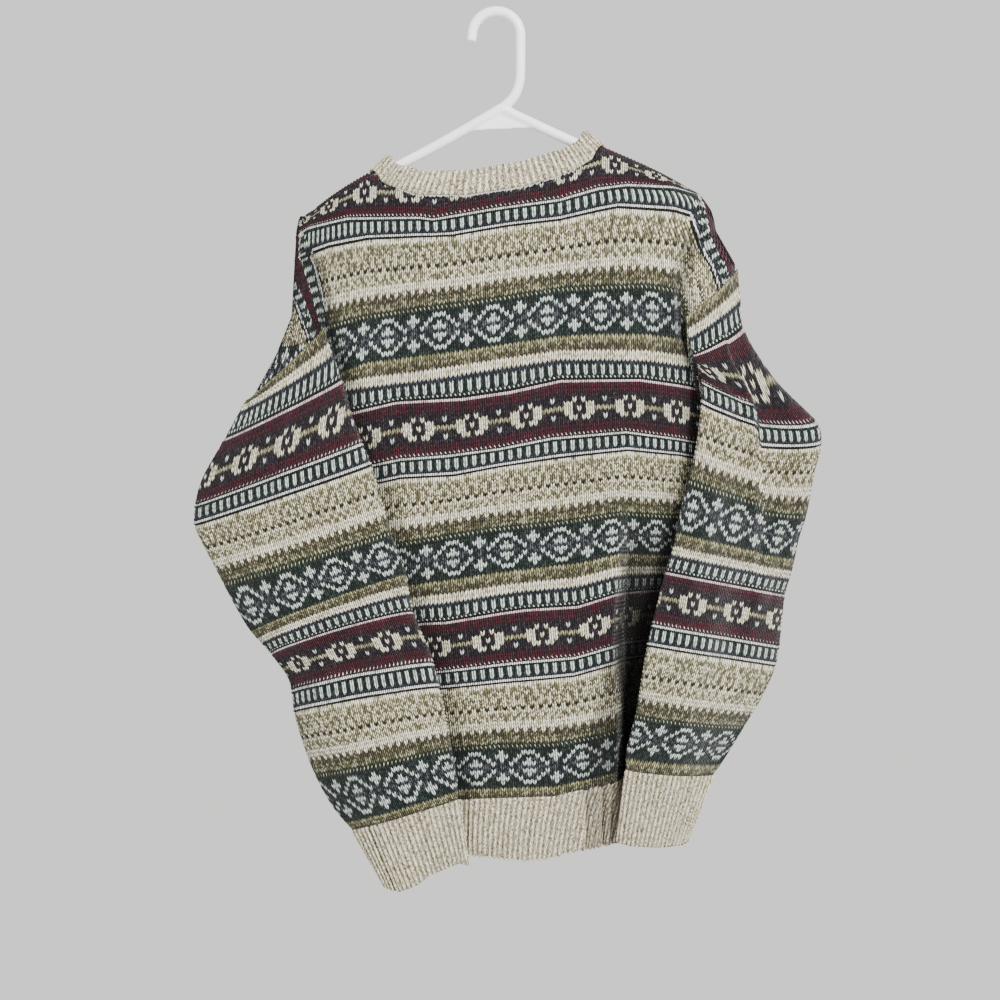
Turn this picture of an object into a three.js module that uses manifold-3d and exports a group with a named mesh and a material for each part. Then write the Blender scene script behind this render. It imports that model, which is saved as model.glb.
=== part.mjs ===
// A knitted jumper, seen from its back, hanging on a moulded plastic hanger.
// Millimetres, +Z up. The origin is the inner top of the hanger's hook, where a rail or nail carries it.
// The jumper's back faces -Y and its front faces +Y. The wearer's left is at -X.
import * as THREE from 'three';
import { mergeVertices } from 'three/addons/utils/BufferGeometryUtils.js';
import Module from 'manifold-3d';

const wasm = await Module();
wasm.setup();

// Driving dimensions of the cloth
const wall = 3;
const seamGap = 0.3;
const ribHeight = 1.1;
const panelColumns = 22;
const sleeveColumns = 14;
const restClearance = 2.6;
const lapWidth = 5;
const hemRibs = 66;
const pointsPerRib = 2;
const sideCrowding = 0.55;
const outerPerInner = 4;

// How square the body's sections are at the side seams, and how far its folds fade towards them
const sideSquareness = 9;
const restSquareness = 6;
const foldReach = 1.15;
const foldFade = 0.3;

// How deep the cloth rounds over the hanger's arms, and how far below the neck its opening still shows
const shoulderRound = 14;
const neckFade = 120;
const neckOverArm = 0.4;

// Driving dimensions of the hanger
const tubeRadius = 4.7;
const hookRadius = 24.5;
const stemFoot = -70;
const apex = { x: 5, z: -94 };
const arms = {
  left: { x: -182, z: -205.5, bow: 5.5 },
  right: { x: 192, z: -184, bow: 3 },
};
const armClearance = 1.2;
const armEndDip = 1.6;
const armEndRadius = 11;
const barDrop = 24;
const web = { left: -38, right: 47, foot: -119, thickness: 2.6 };

// The neck opening, as its seam with the neckband
const neck = { left: -129, right: 110, back: 24, front: 28, frontDrop: 62, dipCurve: 1.2, ringCurve: 0.6 };
const neckSeam = [
  { x: -129, z: -160 },
  { x: -112, z: -173 },
  { x: -80, z: -184 },
  { x: -30, z: -185 },
  { x: 33, z: -175 },
  { x: 80, z: -159 },
  { x: 98, z: -147 },
  { x: 110, z: -135 },
];
const neckband = { rise: 26, sideRise: 9, riseCurve: 0.7, inward: 16, lean: 8, ribs: 84, rows: 3 };

// The body's sections from the shoulder droop down to the hem: side seams and depths
const bodySections = [
  { z: -190, left: -190, right: 214, back: 15, front: 15 },
  { z: -216, left: -202, right: 221, back: 16, front: 16 },
  { z: -252, left: -205, right: 243, back: 17, front: 18 },
  { z: -305, left: -208, right: 243, back: 20, front: 22 },
  { z: -345, left: -224, right: 240, back: 22, front: 25 },
  { z: -392, left: -250, right: 236, back: 23, front: 28 },
  { z: -445, left: -250, right: 230, back: 24, front: 31 },
  { z: -520, left: -238, right: 228, back: 25, front: 34 },
  { z: -600, left: -222, right: 222, back: 26, front: 36 },
  { z: -690, left: -188, right: 212, back: 27, front: 37 },
  { z: -760, left: -150, right: 200, back: 28, front: 35 },
  { z: -800, left: -128, right: 188, back: 26, front: 31 },
  { z: -860, left: -116, right: 170, back: 25, front: 29 },
];

// The seam between the patterned cloth and the hem rib, and the hem's own edge
const ribSeam = [
  { x: -131, z: -797 },
  { x: 20, z: -791 },
  { x: 60, z: -790 },
  { x: 128, z: -774 },
  { x: 194, z: -762 },
];
const hemEdge = [
  { x: -118, z: -850 },
  { x: 30, z: -855 },
  { x: 60, z: -851 },
  { x: 120, z: -836 },
  { x: 172, z: -826 },
];

// Long soft folds of the back and front panels: where they run, how wide and how deep
const backFolds = [
  { topX: 150, topZ: -480, footX: 124, footZ: -800, width: 26, depth: -11 },
  { topX: 168, topZ: -500, footX: 158, footZ: -800, width: 30, depth: -12 },
  { topX: -60, topZ: -420, footX: -72, footZ: -800, width: 34, depth: -6 },
  { topX: 40, topZ: -560, footX: 52, footZ: -800, width: 40, depth: 4 },
];
const frontFolds = [
  { topX: -120, topZ: -330, footX: -84, footZ: -800, width: 44, depth: 8 },
  { topX: -30, topZ: -420, footX: -10, footZ: -800, width: 38, depth: -7 },
  { topX: 70, topZ: -360, footX: 66, footZ: -800, width: 46, depth: 7 },
  { topX: 140, topZ: -440, footX: 128, footZ: -800, width: 34, depth: -8 },
];

// Sleeve stations down the sleeve: outer and inner edges, how far the hidden face hangs below
// the line between them, how far the visible face dips or rises, and the flattened tube's thickness
const sleeveLeft = [
  { outerX: -254, outerZ: -390, innerX: -174, innerZ: -316, under: 84, sag: 4, thick: 12 },
  { outerX: -258, outerZ: -400, innerX: -165, innerZ: -343, under: 70, sag: 4, thick: 17 },
  { outerX: -275, outerZ: -433, innerX: -153, innerZ: -374, under: 52, sag: 3, thick: 22 },
  { outerX: -296, outerZ: -470, innerX: -145, innerZ: -404, under: 36, sag: 2, thick: 25 },
  { outerX: -303, outerZ: -496, innerX: -134, innerZ: -434, under: 24, sag: 2, thick: 27 },
  { outerX: -304, outerZ: -518, innerX: -124, innerZ: -458, under: 14, sag: 2, thick: 28 },
  { outerX: -292, outerZ: -544, innerX: -115, innerZ: -488, under: 6, sag: 2, thick: 28 },
  { outerX: -277, outerZ: -572, innerX: -106, innerZ: -520, under: 0, sag: 2, thick: 27 },
  { outerX: -262, outerZ: -600, innerX: -98, innerZ: -543, under: 0, sag: 0, thick: 26 },
  { outerX: -247, outerZ: -624, innerX: -90, innerZ: -566, under: 0, sag: -4, thick: 26 },
  { outerX: -225, outerZ: -648, innerX: -82, innerZ: -606, under: 0, sag: -6, thick: 27 },
  { outerX: -207, outerZ: -674, innerX: -66, innerZ: -644, under: 0, sag: -5, thick: 26 },
  { outerX: -203, outerZ: -706, innerX: -56, innerZ: -680, under: 0, sag: -4, thick: 25 },
  { outerX: -195, outerZ: -736, innerX: -50, innerZ: -708, under: 0, sag: -2, thick: 24 },
  { outerX: -184, outerZ: -766, innerX: -45, innerZ: -736, under: 0, sag: 0, thick: 23 },
  { outerX: -166, outerZ: -800, innerX: -40, innerZ: -764, under: 0, sag: 0, thick: 22 },
  { outerX: -145, outerZ: -824, innerX: -38, innerZ: -791, under: 0, sag: 0, thick: 20 },
];
const sleeveRight = [
  { outerX: 245, outerZ: -256, innerX: 191, innerZ: -306, under: 84, sag: 3, thick: 12 },
  { outerX: 247, outerZ: -286, innerX: 193, innerZ: -327, under: 74, sag: 3, thick: 16 },
  { outerX: 250, outerZ: -322, innerX: 198, innerZ: -348, under: 68, sag: 3, thick: 20 },
  { outerX: 281, outerZ: -370, innerX: 203, innerZ: -360, under: 60, sag: 4, thick: 24 },
  { outerX: 322, outerZ: -412, innerX: 206, innerZ: -372, under: 48, sag: 6, thick: 27 },
  { outerX: 328, outerZ: -436, innerX: 205, innerZ: -396, under: 34, sag: 5, thick: 28 },
  { outerX: 321, outerZ: -466, innerX: 201, innerZ: -430, under: 20, sag: 4, thick: 28 },
  { outerX: 314, outerZ: -504, innerX: 194, innerZ: -468, under: 8, sag: 3, thick: 27 },
  { outerX: 306, outerZ: -530, innerX: 185, innerZ: -500, under: 0, sag: 2, thick: 26 },
  { outerX: 299, outerZ: -562, innerX: 178, innerZ: -536, under: 0, sag: 1, thick: 26 },
  { outerX: 291, outerZ: -590, innerX: 169, innerZ: -566, under: 0, sag: 0, thick: 26 },
  { outerX: 287, outerZ: -626, innerX: 160, innerZ: -602, under: 0, sag: 0, thick: 26 },
  { outerX: 282, outerZ: -660, innerX: 151, innerZ: -638, under: 0, sag: 0, thick: 25 },
  { outerX: 268, outerZ: -692, innerX: 145, innerZ: -672, under: 0, sag: 0, thick: 24 },
  { outerX: 252, outerZ: -718, innerX: 140, innerZ: -704, under: 0, sag: 2, thick: 22 },
  { outerX: 232, outerZ: -750, innerX: 131, innerZ: -740, under: 0, sag: 2, thick: 20 },
  { outerX: 219, outerZ: -768, innerX: 130, innerZ: -761, under: 0, sag: 2, thick: 19 },
];
const cuffLeft = { outerX: -112, outerZ: -879, innerX: -27, innerZ: -857, thick: 21, ribs: 38 };
const cuffRight = { outerX: 193, outerZ: -835, innerX: 121, innerZ: -834, thick: 21, ribs: 32 };

// Folds of the sleeves' visible faces, across (0 at the inner edge, 1 at the outer) and down
// (stations): a negative depth is a trough
const foldsLeft = [
  { across: 0.62, top: 1.5, foot: 8, width: 0.16, depth: -5 },
  { across: 0.3, top: 6, foot: 13, width: 0.14, depth: 4 },
  { across: 0.55, top: 9.5, foot: 12.5, width: 0.2, depth: -6 },
];
const foldsRight = [
  { across: 0.5, top: 2.5, foot: 9.5, width: 0.1, depth: -9 },
  { across: 0.22, top: 4, foot: 12, width: 0.14, depth: 3 },
  { across: 0.6, top: 9, foot: 14.5, width: 0.18, depth: -4 },
];

const upward = new THREE.Vector3(0, 0, 1);

function lerp(a, b, t) {
  return a + (b - a) * t;
}

// Straight-line reading of one column of a table against another, ends held.
function readTable(table, key, value, at) {
  const rising = table[table.length - 1][key] > table[0][key];
  const rows = rising ? table : [...table].reverse();
  if (at <= rows[0][key]) return rows[0][value];
  for (let i = 1; i < rows.length; i++) {
    if (at <= rows[i][key]) {
      const t = (at - rows[i - 1][key]) / (rows[i][key] - rows[i - 1][key]);
      return lerp(rows[i - 1][value], rows[i][value], t);
    }
  }
  return rows[rows.length - 1][value];
}

function section(z) {
  return {
    left: readTable(bodySections, 'z', 'left', z),
    right: readTable(bodySections, 'z', 'right', z),
    back: readTable(bodySections, 'z', 'back', z),
    front: readTable(bodySections, 'z', 'front', z),
  };
}

function bump(distance, width) {
  const t = Math.min(1, Math.abs(distance) / width);
  return (1 - t * t) ** 2;
}

function foldDepth(folds, x, z) {
  let depth = 0;
  for (const fold of folds) {
    const t = THREE.MathUtils.clamp((z - fold.topZ) / (fold.footZ - fold.topZ), 0, 1);
    const strength = Math.sin(Math.PI * Math.min(1, 0.1 + t * 0.75));
    const fromMiddle = x - lerp(fold.topX, fold.footX, t);
    if (z < fold.topZ) depth += fold.depth * strength * bump(fromMiddle, fold.width);
  }
  return depth;
}

// Height of an arm's centreline at x, bowed up over its outer part
function armHeight(x) {
  const arm = x < apex.x ? arms.left : arms.right;
  const t = THREE.MathUtils.clamp((x - apex.x) / (arm.x - apex.x), 0, 1.06);
  return lerp(apex.z, arm.z, t) + arm.bow * Math.sin(Math.PI * Math.min(1, t) ** 2.5);
}

// The shoulder lines lie on the arms, moved out by the tube, the clearance and the wall.
function shoulderHeight(x) {
  const step = 1;
  const slope = (armHeight(x + step) - armHeight(x - step)) / (2 * step);
  return armHeight(x) + (tubeRadius + armClearance + wall) * Math.hypot(1, slope);
}

// The neck seam's height, which meets the shoulder lines at its two ends
function neckSeamHeight(x) {
  const ends = 12;
  const table = readTable(neckSeam, 'x', 'z', x);
  const toEnd = Math.min(x - neck.left, neck.right - x);
  const share = THREE.MathUtils.clamp(1 - toEnd / ends, 0, 1);
  return lerp(table, shoulderHeight(x), share);
}

// How far x lies in from the ends of the neck: 0 at its sides and 1 at its middle
function neckSpread(x) {
  const middle = (neck.left + neck.right) / 2;
  const half = (neck.right - neck.left) / 2;
  return Math.sqrt(Math.max(0, 1 - ((x - middle) / half) ** 2));
}

// The neck ring stands well clear of the arms that pass under its sides.
function neckDepth(x, isBack) {
  return (isBack ? neck.back : neck.front) * neckSpread(x) ** neck.ringCurve;
}

function panelTop(x, isBack) {
  if (x <= neck.left || x >= neck.right) return shoulderHeight(x);
  const dip = isBack ? 0 : neck.frontDrop * neckSpread(x) ** neck.dipCurve;
  return neckSeamHeight(x) - dip;
}

// How far the body stands from the plane of the side seams, at x and z
function bodyDepth(x, z, isBack) {
  const s = section(z);
  const half = (s.right - s.left) / 2;
  const u = THREE.MathUtils.clamp((x - (s.left + s.right) / 2) / half, -1, 1);
  const full = isBack ? s.back : s.front;
  const round = Math.sqrt(1 - Math.abs(u) ** sideSquareness);
  const folds = foldDepth(isBack ? backFolds : frontFolds, x, z);
  return round * (full + folds * bump(u, foldReach) ** foldFade);
}

// A panel's outer surface. Near its shoulder line it rounds over the arm.
function panelPoint(share, drop, isBack) {
  const top = panelTopAt(share, isBack);
  const foot = footAt(share);
  const z = Math.max(foot, lerp(top.z, foot, drop));
  const s = section(z);
  const x = lerp(s.left, s.right, share);
  const below = top.z - z;
  const overArm = Math.sqrt(1 - (1 - Math.min(1, below / shoulderRound)) ** 2);
  const opened = top.inNeck ? neckDepth(top.x, isBack) : 0;
  const hang = bodyDepth(x, z, isBack);
  const fade = 1 - THREE.MathUtils.smoothstep(below, 0, neckFade);
  const atNeck = opened * fade * (1 - overArm * neckOverArm);
  const depth = Math.max(seamGap / 2, Math.hypot(hang * overArm, atNeck));
  return new THREE.Vector3(x, isBack ? -depth : depth, z);
}

// Where a panel's column, as a share of its width, meets the shoulder line or the neck seam
function panelTopAt(share, isBack) {
  let z = bodySections[0].z;
  let x = 0;
  for (let k = 0; k < 6; k++) {
    const s = section(z);
    x = lerp(s.left, s.right, share);
    z = panelTop(x, isBack);
  }
  return { x, z, inNeck: x > neck.left && x < neck.right };
}

function footAt(share) {
  const x = lerp(ribSeam[0].x, ribSeam[ribSeam.length - 1].x, share);
  return readTable(ribSeam, 'x', 'z', x) + seamGap / 2;
}

// One closed wall between an outer and an inner grid of points. The grids have the same number of
// rows, and the outer one may have several points to each inner one. around is true where each
// row of points is a closed ring.
function wallMesh(outer, inner, around) {
  const rows = outer.length;
  const counts = [outer[0].length, inner[0].length];
  const spans = counts.map((count) => (around ? count : count - 1));
  const perInner = spans[0] / spans[1];
  const position = [];
  for (const grid of [outer, inner]) {
    for (const row of grid) {
      for (const p of row) position.push(p.x, p.y, p.z);
    }
  }
  const out = (i, j) => i * counts[0] + (j % counts[0]);
  const inn = (i, j) => rows * counts[0] + i * counts[1] + (j % counts[1]);
  const index = [];
  for (let i = 0; i < rows - 1; i++) {
    for (let j = 0; j < spans[0]; j++) {
      index.push(out(i, j), out(i + 1, j), out(i + 1, j + 1));
      index.push(out(i, j), out(i + 1, j + 1), out(i, j + 1));
    }
    for (let j = 0; j < spans[1]; j++) {
      index.push(inn(i, j), inn(i + 1, j + 1), inn(i + 1, j));
      index.push(inn(i, j), inn(i, j + 1), inn(i + 1, j + 1));
    }
  }
  for (let j = 0; j < spans[1]; j++) {
    const from = j * perInner;
    for (let k = from; k < from + perInner; k++) {
      index.push(inn(0, j), out(0, k), out(0, k + 1));
      index.push(inn(rows - 1, j), out(rows - 1, k + 1), out(rows - 1, k));
    }
    index.push(inn(0, j), out(0, from + perInner), inn(0, j + 1));
    index.push(inn(rows - 1, j), inn(rows - 1, j + 1), out(rows - 1, from + perInner));
  }
  if (!around) {
    for (let i = 0; i < rows - 1; i++) {
      index.push(out(i + 1, 0), out(i, 0), inn(i, 0));
      index.push(out(i + 1, 0), inn(i, 0), inn(i + 1, 0));
      const [a, b] = [out(i, spans[0]), out(i + 1, spans[0])];
      const [c, d] = [inn(i, spans[1]), inn(i + 1, spans[1])];
      index.push(a, b, d, a, d, c);
    }
  }
  const geometry = new THREE.BufferGeometry();
  geometry.setAttribute('position', new THREE.Float32BufferAttribute(position, 3));
  geometry.setIndex(index);
  return facingOut(geometry);
}

// Turns a closed mesh so that its faces point out.
function facingOut(geometry) {
  const p = geometry.getAttribute('position');
  const index = geometry.getIndex();
  const [a, b, c] = [new THREE.Vector3(), new THREE.Vector3(), new THREE.Vector3()];
  let volume = 0;
  for (let i = 0; i < index.count; i += 3) {
    a.fromBufferAttribute(p, index.getX(i));
    b.fromBufferAttribute(p, index.getX(i + 1));
    c.fromBufferAttribute(p, index.getX(i + 2));
    volume += a.dot(b.cross(c));
  }
  if (volume < 0) {
    for (let i = 0; i < index.count; i += 3) {
      const kept = index.getX(i);
      index.setX(i, index.getX(i + 1));
      index.setX(i + 1, kept);
    }
  }
  geometry.computeVertexNormals();
  return geometry;
}

// Surface directions of a grid, all turned to the side that away points to. The end rows'
// directions lie flat across endAxis, so that two pieces that meet there have rims side by side.
function gridNormals(grid, around, away, endAxis) {
  const rows = grid.length;
  const count = grid[0].length;
  let agreement = 0;
  const normals = grid.map((row, i) => row.map((p, j) => {
    const before = around ? (j + count - 1) % count : Math.max(0, j - 1);
    const after = around ? (j + 1) % count : Math.min(count - 1, j + 1);
    const across = row[after].clone().sub(row[before]);
    const along = grid[Math.min(rows - 1, i + 1)][j].clone().sub(grid[Math.max(0, i - 1)][j]);
    const normal = across.cross(along).normalize();
    agreement += normal.dot(away(p, row));
    const axis = endAxis(i);
    if (axis) normal.addScaledVector(axis, -normal.dot(axis)).normalize();
    return normal;
  }));
  if (agreement < 0) normals.forEach((row) => row.forEach((normal) => normal.negate()));
  return normals;
}

function awayFromMiddle(p, ring) {
  const middle = ring.reduce((sum, q) => sum.add(q), new THREE.Vector3()).divideScalar(ring.length);
  return p.clone().sub(middle).normalize();
}

function inset(grid, normals, depth) {
  return grid.map((row, i) => row.map((p, j) => p.clone().addScaledVector(normals[i][j], -depth)));
}

// Every so many points of a row, with the last one where the row is open
function thinned(grid, step, around) {
  return grid.map((row) => row.filter((p, j) => j % step === 0 || (!around && j === row.length - 1)));
}

// Rows down a panel: close together over the hanger's arm, even below it
const evenFrom = 0.1;
const evenRows = 12;
const panelRows = [0, 0.0025, 0.0075, 0.016, 0.032, 0.06, evenFrom];
for (let i = 1; i <= evenRows; i++) panelRows.push(lerp(evenFrom, 1, i / evenRows));

// An even share of a width, moved part of the way towards its nearer end
function crowded(share, amount) {
  return lerp(share, 0.5 - 0.5 * Math.cos(share * Math.PI), amount);
}

// Columns across a panel: even in the middle, closer at the side seams and the neck's ends
function panelShares(isBack) {
  const shares = [];
  for (let j = 0; j <= panelColumns; j++) shares.push(crowded(j / panelColumns, sideCrowding));
  for (const inward of [0, 2.5, 8]) {
    for (const x of [neck.left + inward, neck.right - inward]) {
      const s = section(panelTop(x, isBack));
      shares.push((x - s.left) / (s.right - s.left));
    }
  }
  shares.sort((a, b) => a - b);
  const apart = 0.005;
  const last = shares.length - 1;
  return shares.filter((share, j) => j === 0 || j === last || share - shares[j - 1] > apart);
}

// Sets a half piece's inner points at the side seams and shoulder lines, where it meets its other half.
function meetOtherHalf(outer, inner, side, perInner, hasShoulders) {
  inner.forEach((row, i) => {
    row.forEach((q, j) => {
      const p = outer[i][Math.min(outer[i].length - 1, j * perInner)];
      if (j === 0) q.set(p.x + wall, 0, p.z);
      if (j === row.length - 1) q.set(p.x - wall, 0, p.z);
      if (hasShoulders && i === 0 && Math.abs(p.y) < 1) q.set(q.x, 0, p.z - wall);
      q.y = side * Math.max(side * q.y, seamGap / 2);
    });
  });
}

function panelGeometry(isBack) {
  const side = isBack ? -1 : 1;
  const grid = panelRows.map((drop) => panelShares(isBack).map((share) => panelPoint(share, drop, isBack)));
  const foot = panelRows.length - 1;
  const away = () => new THREE.Vector3(0, side, 0);
  const normals = gridNormals(grid, false, away, (i) => (i === foot || i === 0 ? upward : null));
  const inner = inset(grid, normals, wall);
  meetOtherHalf(grid, inner, side, 1, true);
  return wallMesh(grid, inner, false);
}

// The hem rib hangs from the panel's foot, on the same sections, with its ribs raised outside.
function hemPoint(share, down, isBack) {
  const side = isBack ? -1 : 1;
  const seam = footAt(share) - seamGap;
  const edge = readTable(hemEdge, 'x', 'z', lerp(hemEdge[0].x, hemEdge[hemEdge.length - 1].x, share));
  const z = lerp(seam, edge, down);
  const s = section(z);
  const x = lerp(s.left, s.right, share);
  const depth = Math.max(seamGap / 2, bodyDepth(x, z, isBack));
  return new THREE.Vector3(x, side * depth, z);
}

function raised(grid, normals, depth) {
  const moved = (p, normal, j) => p.clone().addScaledVector(normal, (j % pointsPerRib) * depth);
  return grid.map((row, i) => row.map((p, j) => moved(p, normals[i][j], j)));
}

function hemGeometry(isBack) {
  const side = isBack ? -1 : 1;
  const downs = [0, 0.5, 1];
  const count = hemRibs * pointsPerRib;
  const shares = [];
  for (let j = 0; j <= count; j++) shares.push(crowded(j / count, sideCrowding));
  const grid = downs.map((down) => shares.map((share) => hemPoint(share, down, isBack)));
  const away = () => new THREE.Vector3(0, side, 0);
  const normals = gridNormals(grid, false, away, () => upward);
  const outer = raised(grid, normals, ribHeight);
  const inner = thinned(inset(grid, normals, wall), outerPerInner, false);
  for (const row of outer) {
    for (const p of row) p.y = side * Math.max(side * p.y, seamGap / 2);
  }
  meetOtherHalf(outer, inner, side, outerPerInner, false);
  return wallMesh(outer, inner, false);
}

// The neckband's rings, from its seam up to its edge, leaning in over the hanger's arms
function neckPoint(turn, up) {
  const angle = 2 * Math.PI * turn;
  const isBack = Math.sin(angle) < 0;
  const spread = Math.abs(Math.sin(angle));
  const middle = (neck.left + neck.right) / 2;
  const half = (neck.right - neck.left) / 2;
  const x = middle + Math.cos(angle) * (half - seamGap - up * neckband.inward);
  const seamX = middle + Math.cos(angle) * half;
  const dip = isBack ? 0 : neck.frontDrop * spread ** neck.dipCurve;
  const rise = lerp(neckband.sideRise, neckband.rise, spread ** neckband.riseCurve);
  const lean = up * neckband.lean * spread ** neck.ringCurve;
  const y = Math.sign(Math.sin(angle)) * (neckDepth(seamX, isBack) - lean);
  return new THREE.Vector3(x, y, neckSeamHeight(seamX) - dip + seamGap + up * rise);
}

function neckbandGeometry() {
  const count = neckband.ribs * pointsPerRib;
  const grid = [];
  for (let i = 0; i < neckband.rows; i++) {
    const up = i / (neckband.rows - 1);
    grid.push(Array.from({ length: count }, (unused, j) => neckPoint(j / count, up)));
  }
  const normals = gridNormals(grid, true, awayFromMiddle, (i) => (i === 0 ? upward : null));
  const outer = raised(grid, normals, ribHeight);
  const inner = thinned(inset(grid, normals, wall), outerPerInner, true);
  return wallMesh(outer, inner, true);
}

// How far a sleeve that lies on the back panel stands off the plane of the side seams
function restDepth(x, z) {
  const s = section(z);
  const u = Math.abs((x - (s.left + s.right) / 2) / ((s.right - s.left) / 2)) / foldReach;
  const round = Math.sqrt(Math.max(0, 1 - u ** restSquareness));
  return round * (s.back + Math.max(0, foldDepth(backFolds, x, z)));
}

// A sleeve station as a closed ring: its visible face from the inner to the outer edge, then
// its hidden face back, which lies on the back panel. Near the armhole both faces lie on it.
function sleeveRing(station, order, folds, count) {
  const inner = new THREE.Vector2(station.innerX, station.innerZ);
  const outer = new THREE.Vector2(station.outerX, station.outerZ);
  const across = outer.clone().sub(inner);
  const down = new THREE.Vector2(across.y, -across.x).normalize();
  if (down.y > 0) down.negate();
  const clearance = lerp(seamGap + 0.2, restClearance, Math.min(1, order / 2));
  const ring = [];
  for (let k = 0; k < count; k++) {
    const phase = (2 * Math.PI * k) / count;
    const share = 0.5 - 0.5 * Math.cos(phase);
    const lift = Math.sin(phase);
    const belly = Math.sqrt(Math.abs(lift)) * Math.sign(lift);
    const place = inner.clone().lerp(outer, share);
    if (lift < 0) place.y -= station.under * Math.abs(lift);
    else place.addScaledVector(down, station.sag * lift);
    const onPanel = bodyDepth(place.x, place.y, true);
    const rest = lerp(onPanel, restDepth(place.x, place.y), Math.min(1, order / 2));
    let y = rest + clearance + station.thick * (0.5 + 0.5 * belly);
    if (lift > 0) {
      for (const fold of folds) {
        const along = (order - fold.top) / (fold.foot - fold.top);
        if (along > 0 && along < 1) {
          y += fold.depth * Math.sin(Math.PI * along) * bump(share - fold.across, fold.width);
        }
      }
    }
    ring.push(new THREE.Vector3(place.x, -y, place.y));
  }
  return ring;
}

// The plane of a ring, as the direction down the sleeve
function ringAxis(station) {
  const across = new THREE.Vector3(station.outerX - station.innerX, 0, station.outerZ - station.innerZ);
  return new THREE.Vector3(across.z, 0, -across.x).normalize();
}

function sleeveGeometry(stations, folds) {
  const count = 2 * sleeveColumns;
  const grid = stations.map((station, order) => sleeveRing(station, order, folds, count));
  const foot = stations.length - 1;
  const endAxis = (i) => (i === foot ? ringAxis(stations[foot]) : null);
  const normals = gridNormals(grid, true, awayFromMiddle, endAxis);
  return wallMesh(grid, inset(grid, normals, wall), true);
}

// A cuff goes on from its sleeve's last ring, past the seam's gap, to its own edge.
function cuffGeometry(stations, cuff) {
  const count = 2 * cuff.ribs;
  const last = stations[stations.length - 1];
  const order = stations.length;
  const axis = ringAxis(last);
  if (axis.z > 0) axis.negate();
  const start = sleeveRing(last, order, [], count).map((p) => p.addScaledVector(axis, seamGap));
  const end = sleeveRing({ ...cuff, under: 0, sag: 0 }, order, [], count);
  const middle = start.map((p, j) => p.clone().lerp(end[j], 0.5));
  const grid = [start, middle, end];
  const normals = gridNormals(grid, true, awayFromMiddle, (i) => (i === 0 ? axis : null));
  const outer = raised(grid, normals, ribHeight);
  const inner = thinned(inset(grid, normals, wall), outerPerInner, true);
  return wallMesh(outer, inner, true);
}

// The armhole's outline in a panel: the sleeve's first ring, drawn in by the lap
function armholeOutline(stations) {
  const ring = sleeveRing(stations[0], 0, [], 2 * sleeveColumns);
  const middle = ring.reduce((sum, p) => sum.add(p), new THREE.Vector3()).divideScalar(ring.length);
  return ring.map((p) => {
    const inward = middle.clone().sub(p).setY(0);
    return p.clone().addScaledVector(inward.normalize(), lapWidth);
  });
}

// A panel loses the armhole that its sleeve leaves through.
function cutArmhole(solid, outline) {
  const shape = new THREE.Shape(outline.map((p) => new THREE.Vector2(p.x, p.z)));
  const reach = 100;
  const cutter = new THREE.ExtrudeGeometry(shape, { depth: reach, bevelEnabled: false });
  cutter.rotateX(Math.PI / 2);
  return solid.subtract(toSolid(cutter));
}

function toSolid(geometry) {
  const bare = geometry.clone();
  bare.deleteAttribute('normal');
  bare.deleteAttribute('uv');
  const merged = facingOut(mergeVertices(bare, 1e-4));
  merged.deleteAttribute('normal');
  return new wasm.Manifold(new wasm.Mesh({
    numProp: 3,
    vertProperties: merged.getAttribute('position').array,
    triVerts: Uint32Array.from(merged.getIndex().array),
  }));
}

// A solid made larger by the seam gap, so that what it cuts keeps that gap to it
function withGap(solid) {
  const g = seamGap;
  const moves = [[g, 0, 0], [-g, 0, 0], [0, g, 0], [0, -g, 0], [0, 0, -g]];
  return moves.reduce((sum, move) => sum.add(solid.translate(move)), solid);
}

function largest(solid) {
  return solid.decompose().sort((a, b) => b.volume() - a.volume())[0];
}

function fromSolid(solid) {
  const mesh = solid.getMesh();
  const geometry = new THREE.BufferGeometry();
  geometry.setAttribute('position', new THREE.BufferAttribute(mesh.vertProperties, 3));
  geometry.setIndex(new THREE.BufferAttribute(mesh.triVerts, 1));
  geometry.computeVertexNormals();
  return geometry;
}

function tube(points, steps) {
  const section = new THREE.Shape();
  const sides = 8;
  for (let k = 0; k < sides; k++) {
    const angle = (2 * Math.PI * k) / sides;
    const [x, y] = [tubeRadius * Math.cos(angle), tubeRadius * Math.sin(angle)];
    if (k === 0) section.moveTo(x, y);
    else section.lineTo(x, y);
  }
  section.closePath();
  const path = new THREE.CatmullRomCurve3(points, false, 'centripetal');
  return toSolid(new THREE.ExtrudeGeometry(section, { steps, extrudePath: path, bevelEnabled: false }));
}

// The hook, from its tip over the top and down the stem to the apex
function hookPoints() {
  const height = -hookRadius + tubeRadius;
  const points = [new THREE.Vector3(-hookRadius - 1, 0, height - 6)];
  for (let degrees = 180; degrees >= 0; degrees -= 20) {
    const angle = THREE.MathUtils.degToRad(degrees);
    points.push(new THREE.Vector3(Math.cos(angle) * hookRadius, 0, height + Math.sin(angle) * hookRadius));
  }
  points.push(new THREE.Vector3(hookRadius, 0, stemFoot + 14));
  points.push(new THREE.Vector3(hookRadius - 1, 0, stemFoot));
  points.push(new THREE.Vector3(hookRadius - 7, 0, stemFoot - 14));
  points.push(new THREE.Vector3(apex.x + 3, 0, apex.z + 2));
  points.push(new THREE.Vector3(apex.x - 2, 0, apex.z - 2));
  return points;
}

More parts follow.
